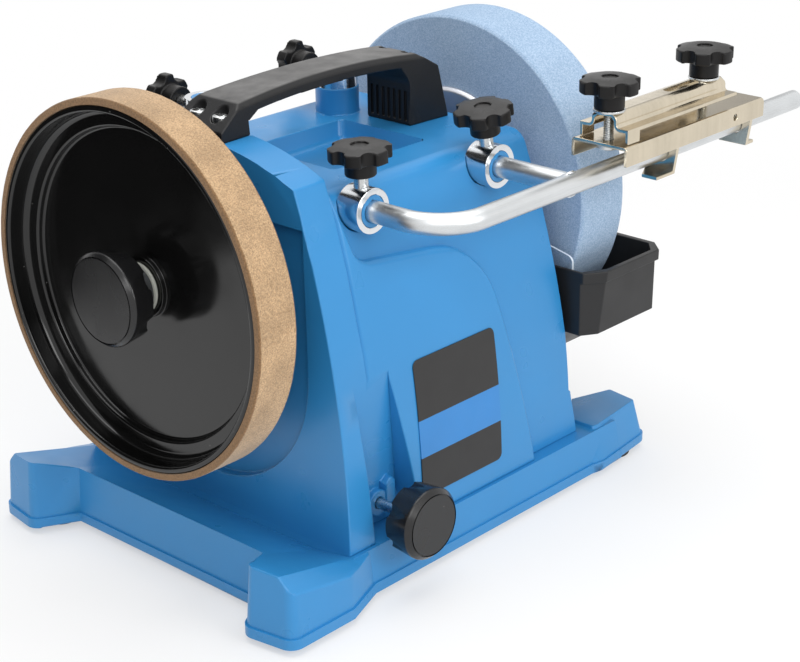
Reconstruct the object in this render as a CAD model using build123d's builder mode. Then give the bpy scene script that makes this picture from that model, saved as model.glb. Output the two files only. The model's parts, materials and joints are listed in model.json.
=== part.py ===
from build123d import *
from math import atan, cos, degrees, radians, sin, sqrt, tan
import os

# Wet sharpening machine, in millimetres.
# X runs along the spindle, from the honing wheel to the grinding stone. The front is -Y and up is +Z.
# The pieces are drawn about the spindle, with X = 0 on the stone's inner face.

# Clearances
running_gap = 0.05
slip_gap = 0.3
free_gap = 1.0

# Grinding stone and spindle
stone_d = 200.0
stone_w = 40.0
stone_edge = 1.5
spindle_d = 12.0
flange_d = 114.0
flange_t = 4.0
flange_hub_d = 28.0
nut_across_flats = 19.0
nut_h = 10.0
nut_face_d = 28.0
nut_face_t = 2.5
spindle_tail = 4.0
spindle_edge = 1.0
bush_wall = 4.0
boss_wall = 11.0

# Honing wheel
hone_d = 208.0
hone_w = 25.5
leather_t = 4.0
hone_rim_t = 4.0
ledge_depth = 12.0
ledge_w = 10.0
ledge_t = 3.5
web_drop = 4.0
web_t = 3.5
hone_hub_d = 34.0
hone_hub_out = 3.0
hone_collar_d = 30.0
hone_collar_t = 4.0
hone_washer_d = 28.0
hone_washer_t = 8.0
hone_neck_d = 22.0
hone_neck_len = 4.0
hone_grip_d = 52.0
hone_grip_len = 13.0
hone_cap_d = 46.0
hone_cap_t = 2.5
drive_ring_t = 4.0
spindle_in_knob = 10.0

# Housing
housing_left_x = -207.0
frame_w = 23.0
wall = 4.0
hone_standoff = 31.0
left_recess_depth = 6.0
left_recess_half_w = 78.0
left_recess_low_z = -45.0
left_recess_top_z = 37.0
front_foot_y = 106.5
front_shoulder_y = 72.5
shoulder_z = 57.5
crown_rise = 15.0
deck_z = 48.0
deck_edge_r = 11.0
panel_proud = 6.0
panel_edge = 2.0
panel_top_left = (-174.0, 12.0)
panel_top_right = (-80.0, 1.0)
panel_foot_x = -48.0
panel_inner_r = 11.0
panel_corner_r = 50.0
right_head_x = -20.0
right_waist_x = -10.0
right_waist_z = -75.0
post_depth = 12.0
post_top_z = -112.0
post_flare = 6.5
guide_y = 46.0
guide_w = 8.0
guide_z = (-100.0, -50.0)

# Tool tray in the deck
tray_x = (-146.0, -72.0)
tray_y = (-42.0, 25.0)
tray_depth = 11.0
tray_draft = 20.0

# Base frame and feet
base_h = 26.0
lip_h = 6.0
lip_step = 1.2
beam_left_x = -246.5
beam_right_x = 30.0
beam_half_y = 111.7
beam_lean = 5.0
left_foot_lean = 4.0
right_foot_lean = 14.0
right_foot_rise = 2.0
roof_outer_rise = (3.0, 15.5, 16.5)
roof_inner_rise = (-3.5, 0.0, -4.5)
roof_outer_crest_y = 111.0
roof_rail_y = 80.0
left_foot_tip = (24.5, 89.0)
left_foot_toe = (19.5, 121.7)
left_foot_heel = 26.5
left_foot_root = 53.5
left_foot_side_y = 75.5
right_foot_tip = (36.0, 76.0)
right_foot_toe = (31.0, 107.7)
right_foot_bend = (20.0, 113.7)
right_foot_root = 30.0
right_foot_side_y = 64.0
foot_corner_r = 7.0
well_x = (-192.0, -24.0)
well_half_y = 88.0
plate_t = 1.5
plate_seat = 4.0
plate_margin = 8.0
plate_screw_d = 4.0
plate_screw_head_d = 8.0
plate_screw_head_h = 2.0
plate_screw_len = 10.0
plate_screw_shares = (0.1, 0.5, 0.9)
rubber_d = 24.0
rubber_h = 4.0
rubber_stud_d = 8.0
rubber_stud_h = 6.0
rubber_draft = 6.0
rubber_left_in = 2.0
rubber_right_out = 10.0
rubber_y = 96.0

# Carrying handle
handle_half_w = 19.0
handle_seat_z = 71.0
handle_left_x = -206.0
handle_left_leg_w = 22.0
handle_left_inner_z = 79.0
handle_right_leg_x = (-57.5, -26.0)
handle_waist_half_w = 15.5
handle_crown = (-120.0, 93.2)
handle_bar_t = 7.3
handle_left_top = (-190.0, 89.4)
handle_left_brow_z = 77.0
handle_right_top = (-50.0, 89.4)
handle_right_brow = (-34.0, 80.0)
handle_haunch = 7.0
handle_haunch_drop = 2.5
handle_leg_drop = 9.0
handle_leg_r = 8.0
handle_edge = 2.5
handle_screw_x = -197.0
handle_screw_y = 8.75
handle_screw_d = 5.0
handle_screw_head_d = 9.0
handle_screw_head_h = 5.5
handle_screw_floor_z = 78.0
handle_screw_len = 24.0
handle_hole_x = -52.0
handle_hole_d = 5.5
handle_hole_depth = 8.0
leg_grooves = 7
leg_groove_pitch = 4.4
leg_groove_w = 2.2
leg_groove_depth = 1.5
leg_groove_z = (50.5, 68.5)

# Clamp sleeves, their collars and star knobs
sleeve_x = (-162.5, -59.5)
sleeve_z = 38.0
leg_d = 12.0
nose_d = 17.5
collar_d = 25.0
collar_len = 16.0
front_face_y = -86.0
front_sleeve_d = 20.0
front_sleeve_end_y = 20.0
rear_sleeve_y = 40.0
rear_boss_d = 26.0
rear_boss_top_z = 64.0
rear_sleeve_bottom_z = -20.0
clamp_screw_d = 8.0
clamp_stem = 6.0
front_screw_lean = (2.0, 9.0)
rear_stem = 9.5
rear_collar_len = 14.0
star_d = 34.0
rear_star_d = 28.5
star_h = 8.5
star_hub_d = 17.0
star_hub_h = 8.5
star_lobes = 6
star_scallop_r = 4.8
star_scallop_depth = 3.3
star_edge = 1.6
star_dome = 2.0
star_crown_d = 20.0
star_dimple_d = 9.0
star_dimple_depth = 1.0
star_blind = 4.0

# Tool support bar
bar_stand_off = 36.0
bar_end_x = 167.0
bend_r = 28.0
leg_end_y = -6.0
bar_edge = 1.0

# Water tank
tank_left_x = -7.0
tank_right_margin = 24.5
tank_wall = 2.2
tank_rim_z = -36.0
tank_rim_h = 7.0
tank_rim_out = 1.6
tank_rim_reach = 13.5
tank_knee_reach = 11.0
tank_knee_z = -76.0
tank_shelf_half = 86.0
tank_floor_half = 55.0
tank_under_stone = 10.0
tank_corner_x = 14.0
tank_corner_y = 9.0
tank_drop = 28.0
tank_floor_gap = 3.0
guard_t = 1.5
guard_y = (-96.5, -64.0)
guard_top_z = (-29.0, -22.0)
guard_low_z = -62.0

# Tool jig
jig_x = (-35.0, 101.0)
jig_half_w = 19.0
jig_sheet = 2.0
jig_flange_h = 11.0
jig_top_over_bar = 18.0
jig_corner_r = 2.5
hook_x = (24.0, 99.5)
hook_t = 2.5
hook_top_half_w = 14.0
hook_low_half_w = 9.5
hook_drop = 12.5
hook_foot_len = (15.0, 6.0)
hook_foot_w = 10.5
flange_hole_x = 71.0
flange_hole_d = 4.0
tool_gap = 6.5
clamp_x = (-31.0, 75.0)
hat_h = 9.5
hat_top_w = 17.0
hat_brim_half_w = 16.5
tab_len = 11.0
clamp_slot_len = 34.0
stud_x = (-26.5, 64.5)
stud_d = 6.0
stud_head_d = 13.0
stud_head_h = 4.0
stud_over = 14.0
jig_washer_d = 18.0
jig_washer_t = 1.5
jig_hub_h = 9.5

# Motor, cradle and drive roller
roller_d = 18.0
roller_w = 11.0
motor_d = 92.0
motor_x0 = -160.0
shield_w = 10.0
shield_wall = 3.0
stator_len = 45.0
stator_bore = 42.0
air_gap = 0.5
winding_d = (52.0, 76.0)
winding_w = 5.5
motor_shaft_d = 10.0
pin_edge = 0.5
bearing_d = 22.0
bearing_w = 7.0
fan_d = 68.0
fan_w = 9.0
fan_hub_d = 20.0
fan_blade_t = 2.0
fan_blades = 9
cheek_t = 3.0
cheek_r = 24.0
cheek_arm_h = 20.0
tie_half_w = 20.0
pivot_y = 62.0
pivot_d = 10.0
bracket_t = 3.0
bracket_half_w = 13.0
trunnion_d = 14.0
trunnion_stub_d = 10.0
shaft_window_d = 24.0

# Front tension knob and its screw
tension_x = -171.5
tension_z = -126.0
tension_rod_d = 6.0
tension_knob_d = 41.0
tension_knob_len = 15.0
tension_cap_d = 34.0
tension_cap_t = 3.0
tension_knob_gap = 5.3
tension_tail = 9.0
tension_grip_share = 0.7
grip_flutes = 6
grip_back_share = 0.93
flute_r_share = 0.17
flute_out_share = 0.5
flute_len_share = 0.9
cap_groove = 0.8
scoop_top_z = -47.0
scoop_left = (-195.0, -187.0)
scoop_right = (-168.0, -150.0)
scoop_floor_y = -90.0
scoop_boss_d = 15.0
scoop_boss_len = 5.0
scoop_tab_x = -163.0
scoop_tab_z = -120.5
scoop_tab_w = 7.0
scoop_tab_h = 15.0
scoop_tab_len = 6.0
scoop_tab_edge = 2.5

# Label, switch, gland and electrics
label_x = (-149.0, -81.0)
label_z = (-128.0, -48.0)
label_t = 0.6
label_bond = 0.1
label_corner_r = 4.0
switch_x = -60.0
switch_z = -106.0
switch_w = 30.0
switch_h = 24.0
switch_rim = 4.0
switch_rim_t = 2.5
switch_depth = 20.0
rocker_w = 18.0
rocker_swing = 14.0
rocker_pivot_depth = 3.0
rocker_horn = 3.6
rocker_waist = 2.0
rocker_back = 4.0
rocker_root_half_h = 4.8
rocker_pin_d = 3.0
rocker_pin_len = 2.0
pocket_ease = 1.2
gland_x = -140.0
gland_z = -112.0
gland_d = 16.0
gland_bore = 8.0
gland_len = 12.0
gland_nut_d = 22.0
gland_nut_t = 5.0
gland_tip_d = 13.0
gland_tip_len = 8.0
capacitor_d = 30.0
capacitor_x = (-78.0, -28.0)
capacitor_y = -40.0
capacitor_edge = 1.5

# Places that follow from the sizes above
stone_r = stone_d / 2
hone_r = hone_d / 2
spindle_bore = spindle_d + 2 * running_gap
tank_floor_z = -(stone_r + tank_under_stone)
base_top_z = tank_floor_z - tank_drop - tank_floor_gap
base_z = base_top_z - base_h
bow_rise = shoulder_z - base_top_z
bow_drop = front_foot_y - front_shoulder_y
bow_r = (bow_rise**2 + bow_drop**2) / (2 * bow_drop)
frame_right_x = housing_left_x + frame_w
right_foot_x = tank_left_x - 1.5 * free_gap
left_wall_x = housing_left_x + left_recess_depth
hone_back_x = housing_left_x - hone_standoff
hone_face_x = hone_back_x - hone_w
web_face_x = hone_face_x + ledge_depth + web_drop
hub_face_x = web_face_x - hone_hub_out
disc_r = hone_r - leather_t
rim_in_r = disc_r - hone_rim_t
ring_seat_r = rim_in_r - ledge_w
drive_r = ring_seat_r - drive_ring_t
roller_r = roller_d / 2
motor_z = -(drive_r - roller_r - slip_gap)
bush_d = spindle_d + 2 * bush_wall
boss_d = bush_d + 2 * boss_wall
left_bush_x = (hone_back_x + hone_collar_t + free_gap, left_wall_x + 3 * wall)
right_bush_x = (right_head_x - 7 * wall, right_head_x + wall)
bar_y = -(stone_r + bar_stand_off)
leg_bore = leg_d + 2 * running_gap
stone_outer_x = stone_w + flange_t
neck_x = hub_face_x - hone_washer_t
spindle_x = (neck_x - hone_neck_len - spindle_in_knob, stone_outer_x + nut_h + spindle_tail)
pad_y = front_foot_y - panel_proud + free_gap / 2
clamp_hole = clamp_screw_d + 2 * running_gap
front_screw_y = front_face_y + collar_len / 2
front_screw_ways = [(-sin(radians(lean)), 0, cos(radians(lean))) for lean in front_screw_lean]
rear_screw_z = rear_boss_top_z + rear_collar_len / 2
handle_screws_at = [(handle_screw_x, side * handle_screw_y) for side in (-1, 1)]


def front_y(z, inset=0.0):
    """Y of the bowed front at height z, moved back by inset from the raised panel's face."""
    rise = z - base_top_z
    return bow_r - sqrt(bow_r**2 - rise**2) + inset - front_foot_y


def along(start, way, distance):
    """Point at a distance from a start point, in a direction of unit length."""
    return tuple(place + distance * share for place, share in zip(start, way))


def round_corners(sketch, corners, radius):
    """Rounds the corners of an open sketch that lie nearest to the given points."""
    for corner in corners:
        fillet(sketch.vertices().sort_by_distance(corner)[0], radius)


def turned(origin, direction, points):
    """Solid of revolution about a line. Each point is a distance along the line and a radius."""
    across = Plane(origin, z_dir=direction)
    with BuildPart() as piece:
        with BuildSketch(Plane(origin, x_dir=direction, z_dir=across.x_dir)):
            with BuildLine():
                Polyline(*points, close=True)
            make_face()
        revolve(axis=Axis(origin, direction))
    return piece.part


def tube(origin, direction, length, outer_d, inner_d):
    """Plain ring or sleeve that starts at origin."""
    outer = outer_d / 2
    inner = inner_d / 2
    return turned(origin, direction, [(0, inner), (length, inner), (length, outer), (0, outer)])


def rod(origin, direction, length, diameter, edge):
    """Round rod with bevelled ends."""
    radius = diameter / 2
    return turned(
        origin,
        direction,
        [
            (0, 0),
            (0, radius - edge),
            (edge, radius),
            (length - edge, radius),
            (length, radius - edge),
            (length, 0),
        ],
    )


def bowed_slab(x_from, x_to, top_z, inset, rise, edge_r):
    """Slab with the housing's bowed section, alike front and back, under a flat or an arched top."""
    foot_y = front_y(base_top_z, inset)
    mid_z = (base_top_z + top_z) / 2
    mid_y = front_y(mid_z, inset)
    head_y = front_y(top_z, inset)
    with BuildPart() as slab:
        with BuildSketch(Plane.YZ.offset(x_from)):
            with BuildLine():
                ThreePointArc((foot_y, base_top_z), (mid_y, mid_z), (head_y, top_z))
                if rise > 0:
                    ThreePointArc((head_y, top_z), (0, top_z + rise), (-head_y, top_z))
                else:
                    Line((head_y, top_z), (-head_y, top_z))
                ThreePointArc((-head_y, top_z), (-mid_y, mid_z), (-foot_y, base_top_z))
                Line((-foot_y, base_top_z), (foot_y, base_top_z))
            make_face()
        extrude(amount=x_to - x_from)
        if edge_r > 0:
            fillet(slab.edges().filter_by(Axis.X).group_by(Axis.Z)[-1], edge_r)
    return slab.part


def behind_right_wall(slab, inset):
    """Slab cut back to the housing's leaning right wall, moved left by inset."""
    with BuildPart() as trimmed:
        add(slab)
        with BuildSketch(Plane.XZ):
            with BuildLine():
                Polyline(
                    (housing_left_x, base_top_z),
                    (right_foot_x - inset, base_top_z),
                    (right_waist_x - inset, right_waist_z),
                    (right_head_x - inset, deck_z),
                    (housing_left_x, deck_z),
                    close=True,
                )
            make_face()
        extrude(amount=2 * front_foot_y, both=True, mode=Mode.INTERSECT)
    return trimmed.part


def star_head(seat, direction, diameter, hub_h, screw_d):
    """Six-lobed clamp head: a round hub on the seat, the domed star above it and a blind screw hole."""
    plane = Plane(seat, x_dir=(1, 0, 0), z_dir=direction)
    top = hub_h + star_h
    reach = diameter / 2 + star_edge
    dome = turned(
        seat, direction, [(0, 0), (top, 0), (top, star_crown_d / 2), (top - star_dome, reach), (0, reach)]
    )
    with BuildPart() as head:
        with BuildSketch(plane):
            Circle(star_hub_d / 2)
        extrude(amount=hub_h)
        with BuildSketch(plane.offset(hub_h)) as star:
            Circle(diameter / 2)
            with PolarLocations(diameter / 2 + star_scallop_r - star_scallop_depth, star_lobes):
                Circle(star_scallop_r, mode=Mode.SUBTRACT)
            fillet(star.vertices(), star_edge)
        extrude(amount=star_h)
        add(dome, mode=Mode.INTERSECT)
        with BuildSketch(plane.offset(top)):
            Circle(star_dimple_d / 2)
        extrude(amount=-star_dimple_depth, mode=Mode.SUBTRACT)
        with BuildSketch(plane):
            Circle(screw_d / 2)
        extrude(amount=top - star_blind, mode=Mode.SUBTRACT)
    return head.part


def fluted_grip(seat, direction, diameter, length, cap_d, cap_t, bore_d, bore_len):
    """Hand knob that widens to a coned rim, with short flutes, a ringed cap and a blind bore."""
    plane = Plane(seat, z_dir=direction)
    rim_r = diameter / 2
    groove_r = cap_d / 2 + cap_groove
    face = length + cap_t
    body = turned(
        seat,
        direction,
        [
            (0, 0),
            (0, grip_back_share * rim_r),
            (length, rim_r),
            (face, groove_r),
            (face - cap_groove, groove_r),
            (face - cap_groove, cap_d / 2),
            (face, cap_d / 2),
            (face, 0),
        ],
    )
    flute_r = flute_r_share * diameter
    flute_len = flute_len_share * length
    flute_run = degrees(atan((1 - flute_out_share) * flute_r / flute_len))
    with BuildPart() as grip:
        add(body)
        with BuildSketch(plane):
            with PolarLocations(rim_r + flute_out_share * flute_r, grip_flutes):
                Circle(flute_r)
        extrude(amount=flute_len, taper=flute_run, mode=Mode.SUBTRACT)
        with BuildSketch(plane):
            Circle(bore_d / 2)
        extrude(amount=bore_len, mode=Mode.SUBTRACT)
    return grip.part


pieces = {}

# Grinding stone, its flanges and nut
edge_points = [
    (0, spindle_bore / 2),
    (stone_w, spindle_bore / 2),
    (stone_w, stone_r - stone_edge),
    (stone_w - stone_edge, stone_r),
    (stone_edge, stone_r),
    (0, stone_r - stone_edge),
]
pieces["grinding_stone"] = turned((0, 0, 0), (1, 0, 0), edge_points)

flange_hub_len = -flange_t - right_bush_x[1] - free_gap / 2
pieces["inner_flange"] = turned(
    (-flange_t, 0, 0),
    (1, 0, 0),
    [
        (-flange_hub_len, spindle_bore / 2),
        (flange_t, spindle_bore / 2),
        (flange_t, flange_d / 2),
        (flange_t / 2, flange_d / 2),
        (0, flange_d / 2 - flange_t / 2),
        (0, flange_hub_d / 2),
        (-flange_hub_len, flange_hub_d / 2),
    ],
)
pieces["outer_flange"] = turned(
    (stone_w, 0, 0),
    (1, 0, 0),
    [
        (0, spindle_bore / 2),
        (flange_t, spindle_bore / 2),
        (flange_t, flange_d / 2 - flange_t / 2),
        (flange_t / 2, flange_d / 2),
        (0, flange_d / 2),
    ],
)
with BuildPart() as stone_nut:
    with BuildSketch(Plane.YZ.offset(stone_outer_x)):
        Circle(nut_face_d / 2)
    extrude(amount=nut_face_t)
    with BuildSketch(Plane.YZ.offset(stone_outer_x + nut_face_t)):
        RegularPolygon(nut_across_flats / 2, 6, major_radius=False)
    extrude(amount=nut_h - nut_face_t)
    with BuildSketch(Plane.YZ.offset(stone_outer_x)):
        Circle(spindle_bore / 2)
    extrude(amount=nut_h, mode=Mode.SUBTRACT)
pieces["stone_nut"] = stone_nut.part

# Spindle and its bushes
pieces["main_shaft"] = rod(
    (spindle_x[0], 0, 0), (1, 0, 0), spindle_x[1] - spindle_x[0], spindle_d, spindle_edge
)
with BuildPart() as axle_bushes:
    for bush_x in (left_bush_x, right_bush_x):
        add(tube((bush_x[0], 0, 0), (1, 0, 0), bush_x[1] - bush_x[0], bush_d, spindle_bore))
pieces["axle_bushes"] = axle_bushes.part

# Honing wheel: a dished disc with a ledge, a thin web, a hub and a drive ring behind the ledge
with BuildPart() as honing_disc:
    add(tube((hone_face_x, 0, 0), (1, 0, 0), hone_w, 2 * disc_r, 2 * rim_in_r))
    ledge_x = hone_face_x + ledge_depth
    add(tube((ledge_x, 0, 0), (1, 0, 0), ledge_t, 2 * rim_in_r, 2 * ring_seat_r))
    skirt_d = 2 * (ring_seat_r + ledge_t)
    add(tube((ledge_x, 0, 0), (1, 0, 0), hone_back_x - ledge_x, skirt_d, 2 * ring_seat_r))
    add(tube((web_face_x, 0, 0), (1, 0, 0), web_t, 2 * ring_seat_r, hone_hub_d))
    add(tube((hub_face_x, 0, 0), (1, 0, 0), hone_back_x - hub_face_x, hone_hub_d, spindle_bore))
pieces["honing_disc"] = honing_disc.part
pieces["leather_band"] = tube((hone_face_x, 0, 0), (1, 0, 0), hone_w, hone_d, 2 * disc_r)
ring_x = web_face_x + web_t
pieces["drive_ring"] = tube((ring_x, 0, 0), (1, 0, 0), hone_back_x - ring_x, 2 * ring_seat_r, 2 * drive_r)
pieces["honing_flange"] = tube((hone_back_x, 0, 0), (1, 0, 0), hone_collar_t, hone_collar_d, spindle_bore)
washer_seat = (hub_face_x, 0, 0)
pieces["honing_washer"] = tube(washer_seat, (-1, 0, 0), hone_washer_t, hone_washer_d, spindle_bore)
with BuildPart() as honing_knob:
    add(
        fluted_grip(
            (neck_x - hone_neck_len, 0, 0),
            (-1, 0, 0),
            hone_grip_d,
            hone_grip_len,
            hone_cap_d,
            hone_cap_t,
            spindle_bore,
            neck_x - hone_neck_len - spindle_x[0] + free_gap,
        )
    )
    add(tube((neck_x, 0, 0), (-1, 0, 0), hone_neck_len, hone_neck_d, spindle_bore))
pieces["honing_knob"] = honing_knob.part

# Housing: left frame, core, raised front panel and right corner posts make the outer block
with BuildPart() as panel:
    add(bowed_slab(frame_right_x, 0, shoulder_z, 0, 0, 0))
    with BuildSketch(Plane.XZ) as panel_outline:
        with BuildLine():
            Polyline(
                (frame_right_x, base_top_z),
                (frame_right_x, shoulder_z),
                panel_top_left,
                panel_top_right,
                (panel_foot_x, base_top_z),
                close=True,
            )
        make_face()
        fillet(panel_outline.vertices().sort_by_distance(panel_top_left)[0], panel_inner_r)
        fillet(panel_outline.vertices().sort_by_distance(panel_top_right)[0], panel_corner_r)
    extrude(amount=2 * front_foot_y, mode=Mode.INTERSECT)
    chamfer(panel.faces().sort_by(Axis.Y)[0].edges().filter_by(GeomType.LINE, reverse=True), panel_edge)

with BuildPart() as corner_posts:
    add(bowed_slab(right_foot_x - 2 * wall, 0, post_top_z, panel_proud, 0, 0))
    with BuildSketch(Plane.XZ):
        with BuildLine():
            Polyline(
                (right_foot_x - wall, post_top_z),
                (right_foot_x, post_top_z),
                (right_foot_x + post_flare, base_top_z),
                (right_foot_x - wall, base_top_z),
                close=True,
            )
        make_face()
    extrude(amount=2 * front_foot_y, both=True, mode=Mode.INTERSECT)
    post_back_y = front_foot_y - panel_proud - post_depth
    with BuildSketch(Plane.XZ):
        Rectangle(4 * front_foot_y, 4 * front_foot_y)
    extrude(amount=post_back_y, both=True, mode=Mode.SUBTRACT)

core = bowed_slab(left_wall_x, 0, deck_z, panel_proud, 0, deck_edge_r)
with BuildPart() as outer_block:
    add(bowed_slab(housing_left_x, frame_right_x, shoulder_z, 0, crown_rise, 0))
    add(behind_right_wall(core, 0))
    add(panel.part)
    add(corner_posts.part)

# Bosses and pockets inside the housing, kept within its outer block
with BuildPart() as inner_bosses:
    with BuildSketch(Plane.XY.offset(deck_z - tray_depth - wall)):
        with Locations(((tray_x[0] + tray_x[1]) / 2, (tray_y[0] + tray_y[1]) / 2)):
            Rectangle(tray_x[1] - tray_x[0] + 2 * wall, tray_y[1] - tray_y[0] + 2 * wall)
    extrude(amount=tray_depth + wall)
    with BuildSketch(Plane.XZ.offset(-front_sleeve_end_y)):
        with Locations(*[(x, sleeve_z) for x in sleeve_x]):
            Circle(front_sleeve_d / 2)
    extrude(amount=front_sleeve_end_y - front_face_y)
    with BuildSketch(Plane.XZ.offset(-front_face_y - collar_len - wall)):
        with Locations(*[(x, sleeve_z) for x in sleeve_x]):
            Circle(collar_d / 2 + slip_gap + wall)
    extrude(amount=collar_len)
    with BuildSketch(Plane.XY.offset(rear_sleeve_bottom_z - wall)):
        with Locations(*[(x, rear_sleeve_y) for x in sleeve_x]):
            Circle(front_sleeve_d / 2)
    extrude(amount=deck_z - rear_sleeve_bottom_z + wall)
    add(tube((right_bush_x[0], 0, 0), (1, 0, 0), -right_bush_x[0], boss_d, bush_d))
    with BuildSketch(Plane.XZ.offset(-scoop_floor_y - wall)):
        with BuildLine():
            Polyline(
                (left_wall_x, base_top_z),
                (left_wall_x, scoop_top_z + 2 * wall),
                (scoop_right[0] + 2 * wall, scoop_top_z + 2 * wall),
                (scoop_right[1] + 2 * wall, base_top_z),
                close=True,
            )
        make_face()
    extrude(amount=front_foot_y)
    add(outer_block.part, mode=Mode.INTERSECT)

# Scoop in the panel round the tension screw, deeper towards the foot
scoop_lip_y = front_y(scoop_top_z)
with BuildPart() as scoop:
    with BuildSketch(Plane.YZ.offset(housing_left_x)):
        with BuildLine():
            Polyline(
                (scoop_lip_y, scoop_top_z),
                (scoop_floor_y, tension_z),
                (scoop_floor_y, base_top_z),
                (-2 * front_foot_y, base_top_z),
                (-2 * front_foot_y, scoop_top_z),
                close=True,
            )
        make_face()
    extrude(amount=-housing_left_x)
    with BuildSketch(Plane.XZ):
        with BuildLine():
            Polyline(
                (scoop_left[0], scoop_top_z),
                (scoop_right[0], scoop_top_z),
                (scoop_right[1], base_top_z),
                (scoop_left[1], base_top_z),
                close=True,
            )
        make_face()
    extrude(amount=2 * front_foot_y, mode=Mode.INTERSECT)

with BuildPart() as housing:
    add(outer_block.part)
    cavity = bowed_slab(left_wall_x + wall, 0, deck_z - wall, panel_proud + wall, 0, 0)
    add(behind_right_wall(cavity, wall), mode=Mode.SUBTRACT)
    add(inner_bosses.part)
    # Left boss of the spindle, in a sunk field of the left wall
    with BuildSketch(Plane.YZ.offset(housing_left_x)):
        with BuildLine():
            Line((left_recess_half_w, left_recess_low_z), (left_recess_half_w, left_recess_top_z))
            Line((left_recess_half_w, left_recess_top_z), (-left_recess_half_w, left_recess_top_z))
            Line((-left_recess_half_w, left_recess_top_z), (-left_recess_half_w, left_recess_low_z))
            ThreePointArc(
                (-left_recess_half_w, left_recess_low_z),
                (0, left_recess_low_z - left_recess_half_w),
                (left_recess_half_w, left_recess_low_z),
            )
        make_face()
    extrude(amount=left_recess_depth, mode=Mode.SUBTRACT)
    with BuildSketch(Plane.YZ.offset(left_bush_x[0])):
        Circle(boss_d / 2)
    extrude(amount=left_bush_x[1] - left_bush_x[0])
    # Rear bosses and all the sleeve noses
    with BuildSketch(Plane.XY.offset(deck_z - wall)):
        with Locations(*[(x, rear_sleeve_y) for x in sleeve_x]):
            Circle(rear_boss_d / 2)
    extrude(amount=rear_boss_top_z - deck_z + wall)
    with BuildSketch(Plane.XY.offset(rear_boss_top_z)):
        with Locations(*[(x, rear_sleeve_y) for x in sleeve_x]):
            Circle(nose_d / 2)
    extrude(amount=rear_collar_len)
    with BuildSketch(Plane.XZ.offset(-front_face_y - collar_len)):
        with Locations(*[(x, sleeve_z) for x in sleeve_x]):
            Circle(collar_d / 2 + slip_gap)
    extrude(amount=2 * collar_len, mode=Mode.SUBTRACT)
    with BuildSketch(Plane.XZ.offset(-front_face_y - collar_len)):
        with Locations(*[(x, sleeve_z) for x in sleeve_x]):
            Circle(nose_d / 2)
    extrude(amount=collar_len)
    # Bores of the sleeves, and a cross hole through each nose for its clamp screw
    with BuildSketch(Plane.XZ.offset(-front_sleeve_end_y)):
        with Locations(*[(x, sleeve_z) for x in sleeve_x]):
            Circle(leg_bore / 2)
    extrude(amount=front_sleeve_end_y - front_face_y, mode=Mode.SUBTRACT)
    with BuildSketch(Plane.XY.offset(rear_sleeve_bottom_z)):
        with Locations(*[(x, rear_sleeve_y) for x in sleeve_x]):
            Circle(leg_bore / 2)
    extrude(amount=rear_boss_top_z + rear_collar_len - rear_sleeve_bottom_z, mode=Mode.SUBTRACT)
    for x, way in zip(sleeve_x, front_screw_ways):
        with BuildSketch(Plane((x, front_screw_y, sleeve_z), z_dir=way)):
            Circle(clamp_hole / 2)
        extrude(amount=nose_d / 2, mode=Mode.SUBTRACT)
    with BuildSketch(Plane.XZ.offset(-rear_sleeve_y)):
        with Locations(*[(x, rear_screw_z) for x in sleeve_x]):
            Circle(clamp_hole / 2)
    extrude(amount=-nose_d / 2, mode=Mode.SUBTRACT)
    # Bores for the spindle bushes, a pocket for the stone's hub and a window for the motor shaft
    with BuildSketch(Plane.YZ.offset(left_bush_x[0])):
        Circle(bush_d / 2)
    extrude(amount=left_bush_x[1] - left_bush_x[0], mode=Mode.SUBTRACT)
    with BuildSketch(Plane.YZ.offset(right_bush_x[0])):
        Circle(bush_d / 2)
    extrude(amount=-right_bush_x[0], mode=Mode.SUBTRACT)
    with BuildSketch(Plane.YZ.offset(right_bush_x[1])):
        Circle(flange_hub_d / 2 + free_gap)
    extrude(amount=-right_bush_x[1], mode=Mode.SUBTRACT)
    with BuildSketch(Plane.YZ.offset(left_wall_x)):
        with Locations((0, motor_z)):
            Circle(shaft_window_d / 2)
    extrude(amount=wall, mode=Mode.SUBTRACT)
    # Tray, scoop, screw boss and the hole of the tension screw
    with BuildSketch(Plane.XY.offset(deck_z - tray_depth)):
        inset = tray_depth * tan(radians(tray_draft))
        with Locations(((tray_x[0] + tray_x[1]) / 2, (tray_y[0] + tray_y[1]) / 2)):
            Rectangle(tray_x[1] - tray_x[0] - 2 * inset, tray_y[1] - tray_y[0] - 2 * inset)
    extrude(amount=tray_depth, taper=-tray_draft, mode=Mode.SUBTRACT)
    add(scoop.part, mode=Mode.SUBTRACT)
    with BuildSketch(Plane.XZ.offset(-scoop_floor_y)):
        with Locations((tension_x, tension_z)):
            Circle(scoop_boss_d / 2)
    extrude(amount=scoop_boss_len)
    with BuildSketch(Plane.XZ.offset(-scoop_floor_y)) as tab:
        with Locations((scoop_tab_x, scoop_tab_z)):
            Rectangle(scoop_tab_w, scoop_tab_h)
        chamfer(tab.vertices().group_by(Axis.Y)[-1], scoop_tab_edge)
    extrude(amount=scoop_tab_len)
    with BuildSketch(Plane.XZ.offset(-scoop_floor_y - 2 * wall)):
        with Locations((tension_x, tension_z)):
            Circle(tension_rod_d / 2 + slip_gap)
    extrude(amount=4 * wall, mode=Mode.SUBTRACT)
    # Flat pads on the back wall, with the openings of the switch and the gland
    with BuildSketch(Plane.XZ.offset(-pad_y)):
        with Locations((switch_x, switch_z)):
            Rectangle(switch_w + 2 * switch_rim, switch_h + 2 * switch_rim)
        with Locations((gland_x, gland_z)):
            Circle(gland_nut_d / 2 + free_gap)
    extrude(amount=2 * wall)
    with BuildSketch(Plane.XZ):
        with Locations((switch_x, switch_z)):
            Rectangle(switch_w, switch_h)
        with Locations((gland_x, gland_z)):
            Circle(gland_d / 2)
    extrude(amount=-2 * front_foot_y, mode=Mode.SUBTRACT)
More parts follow.
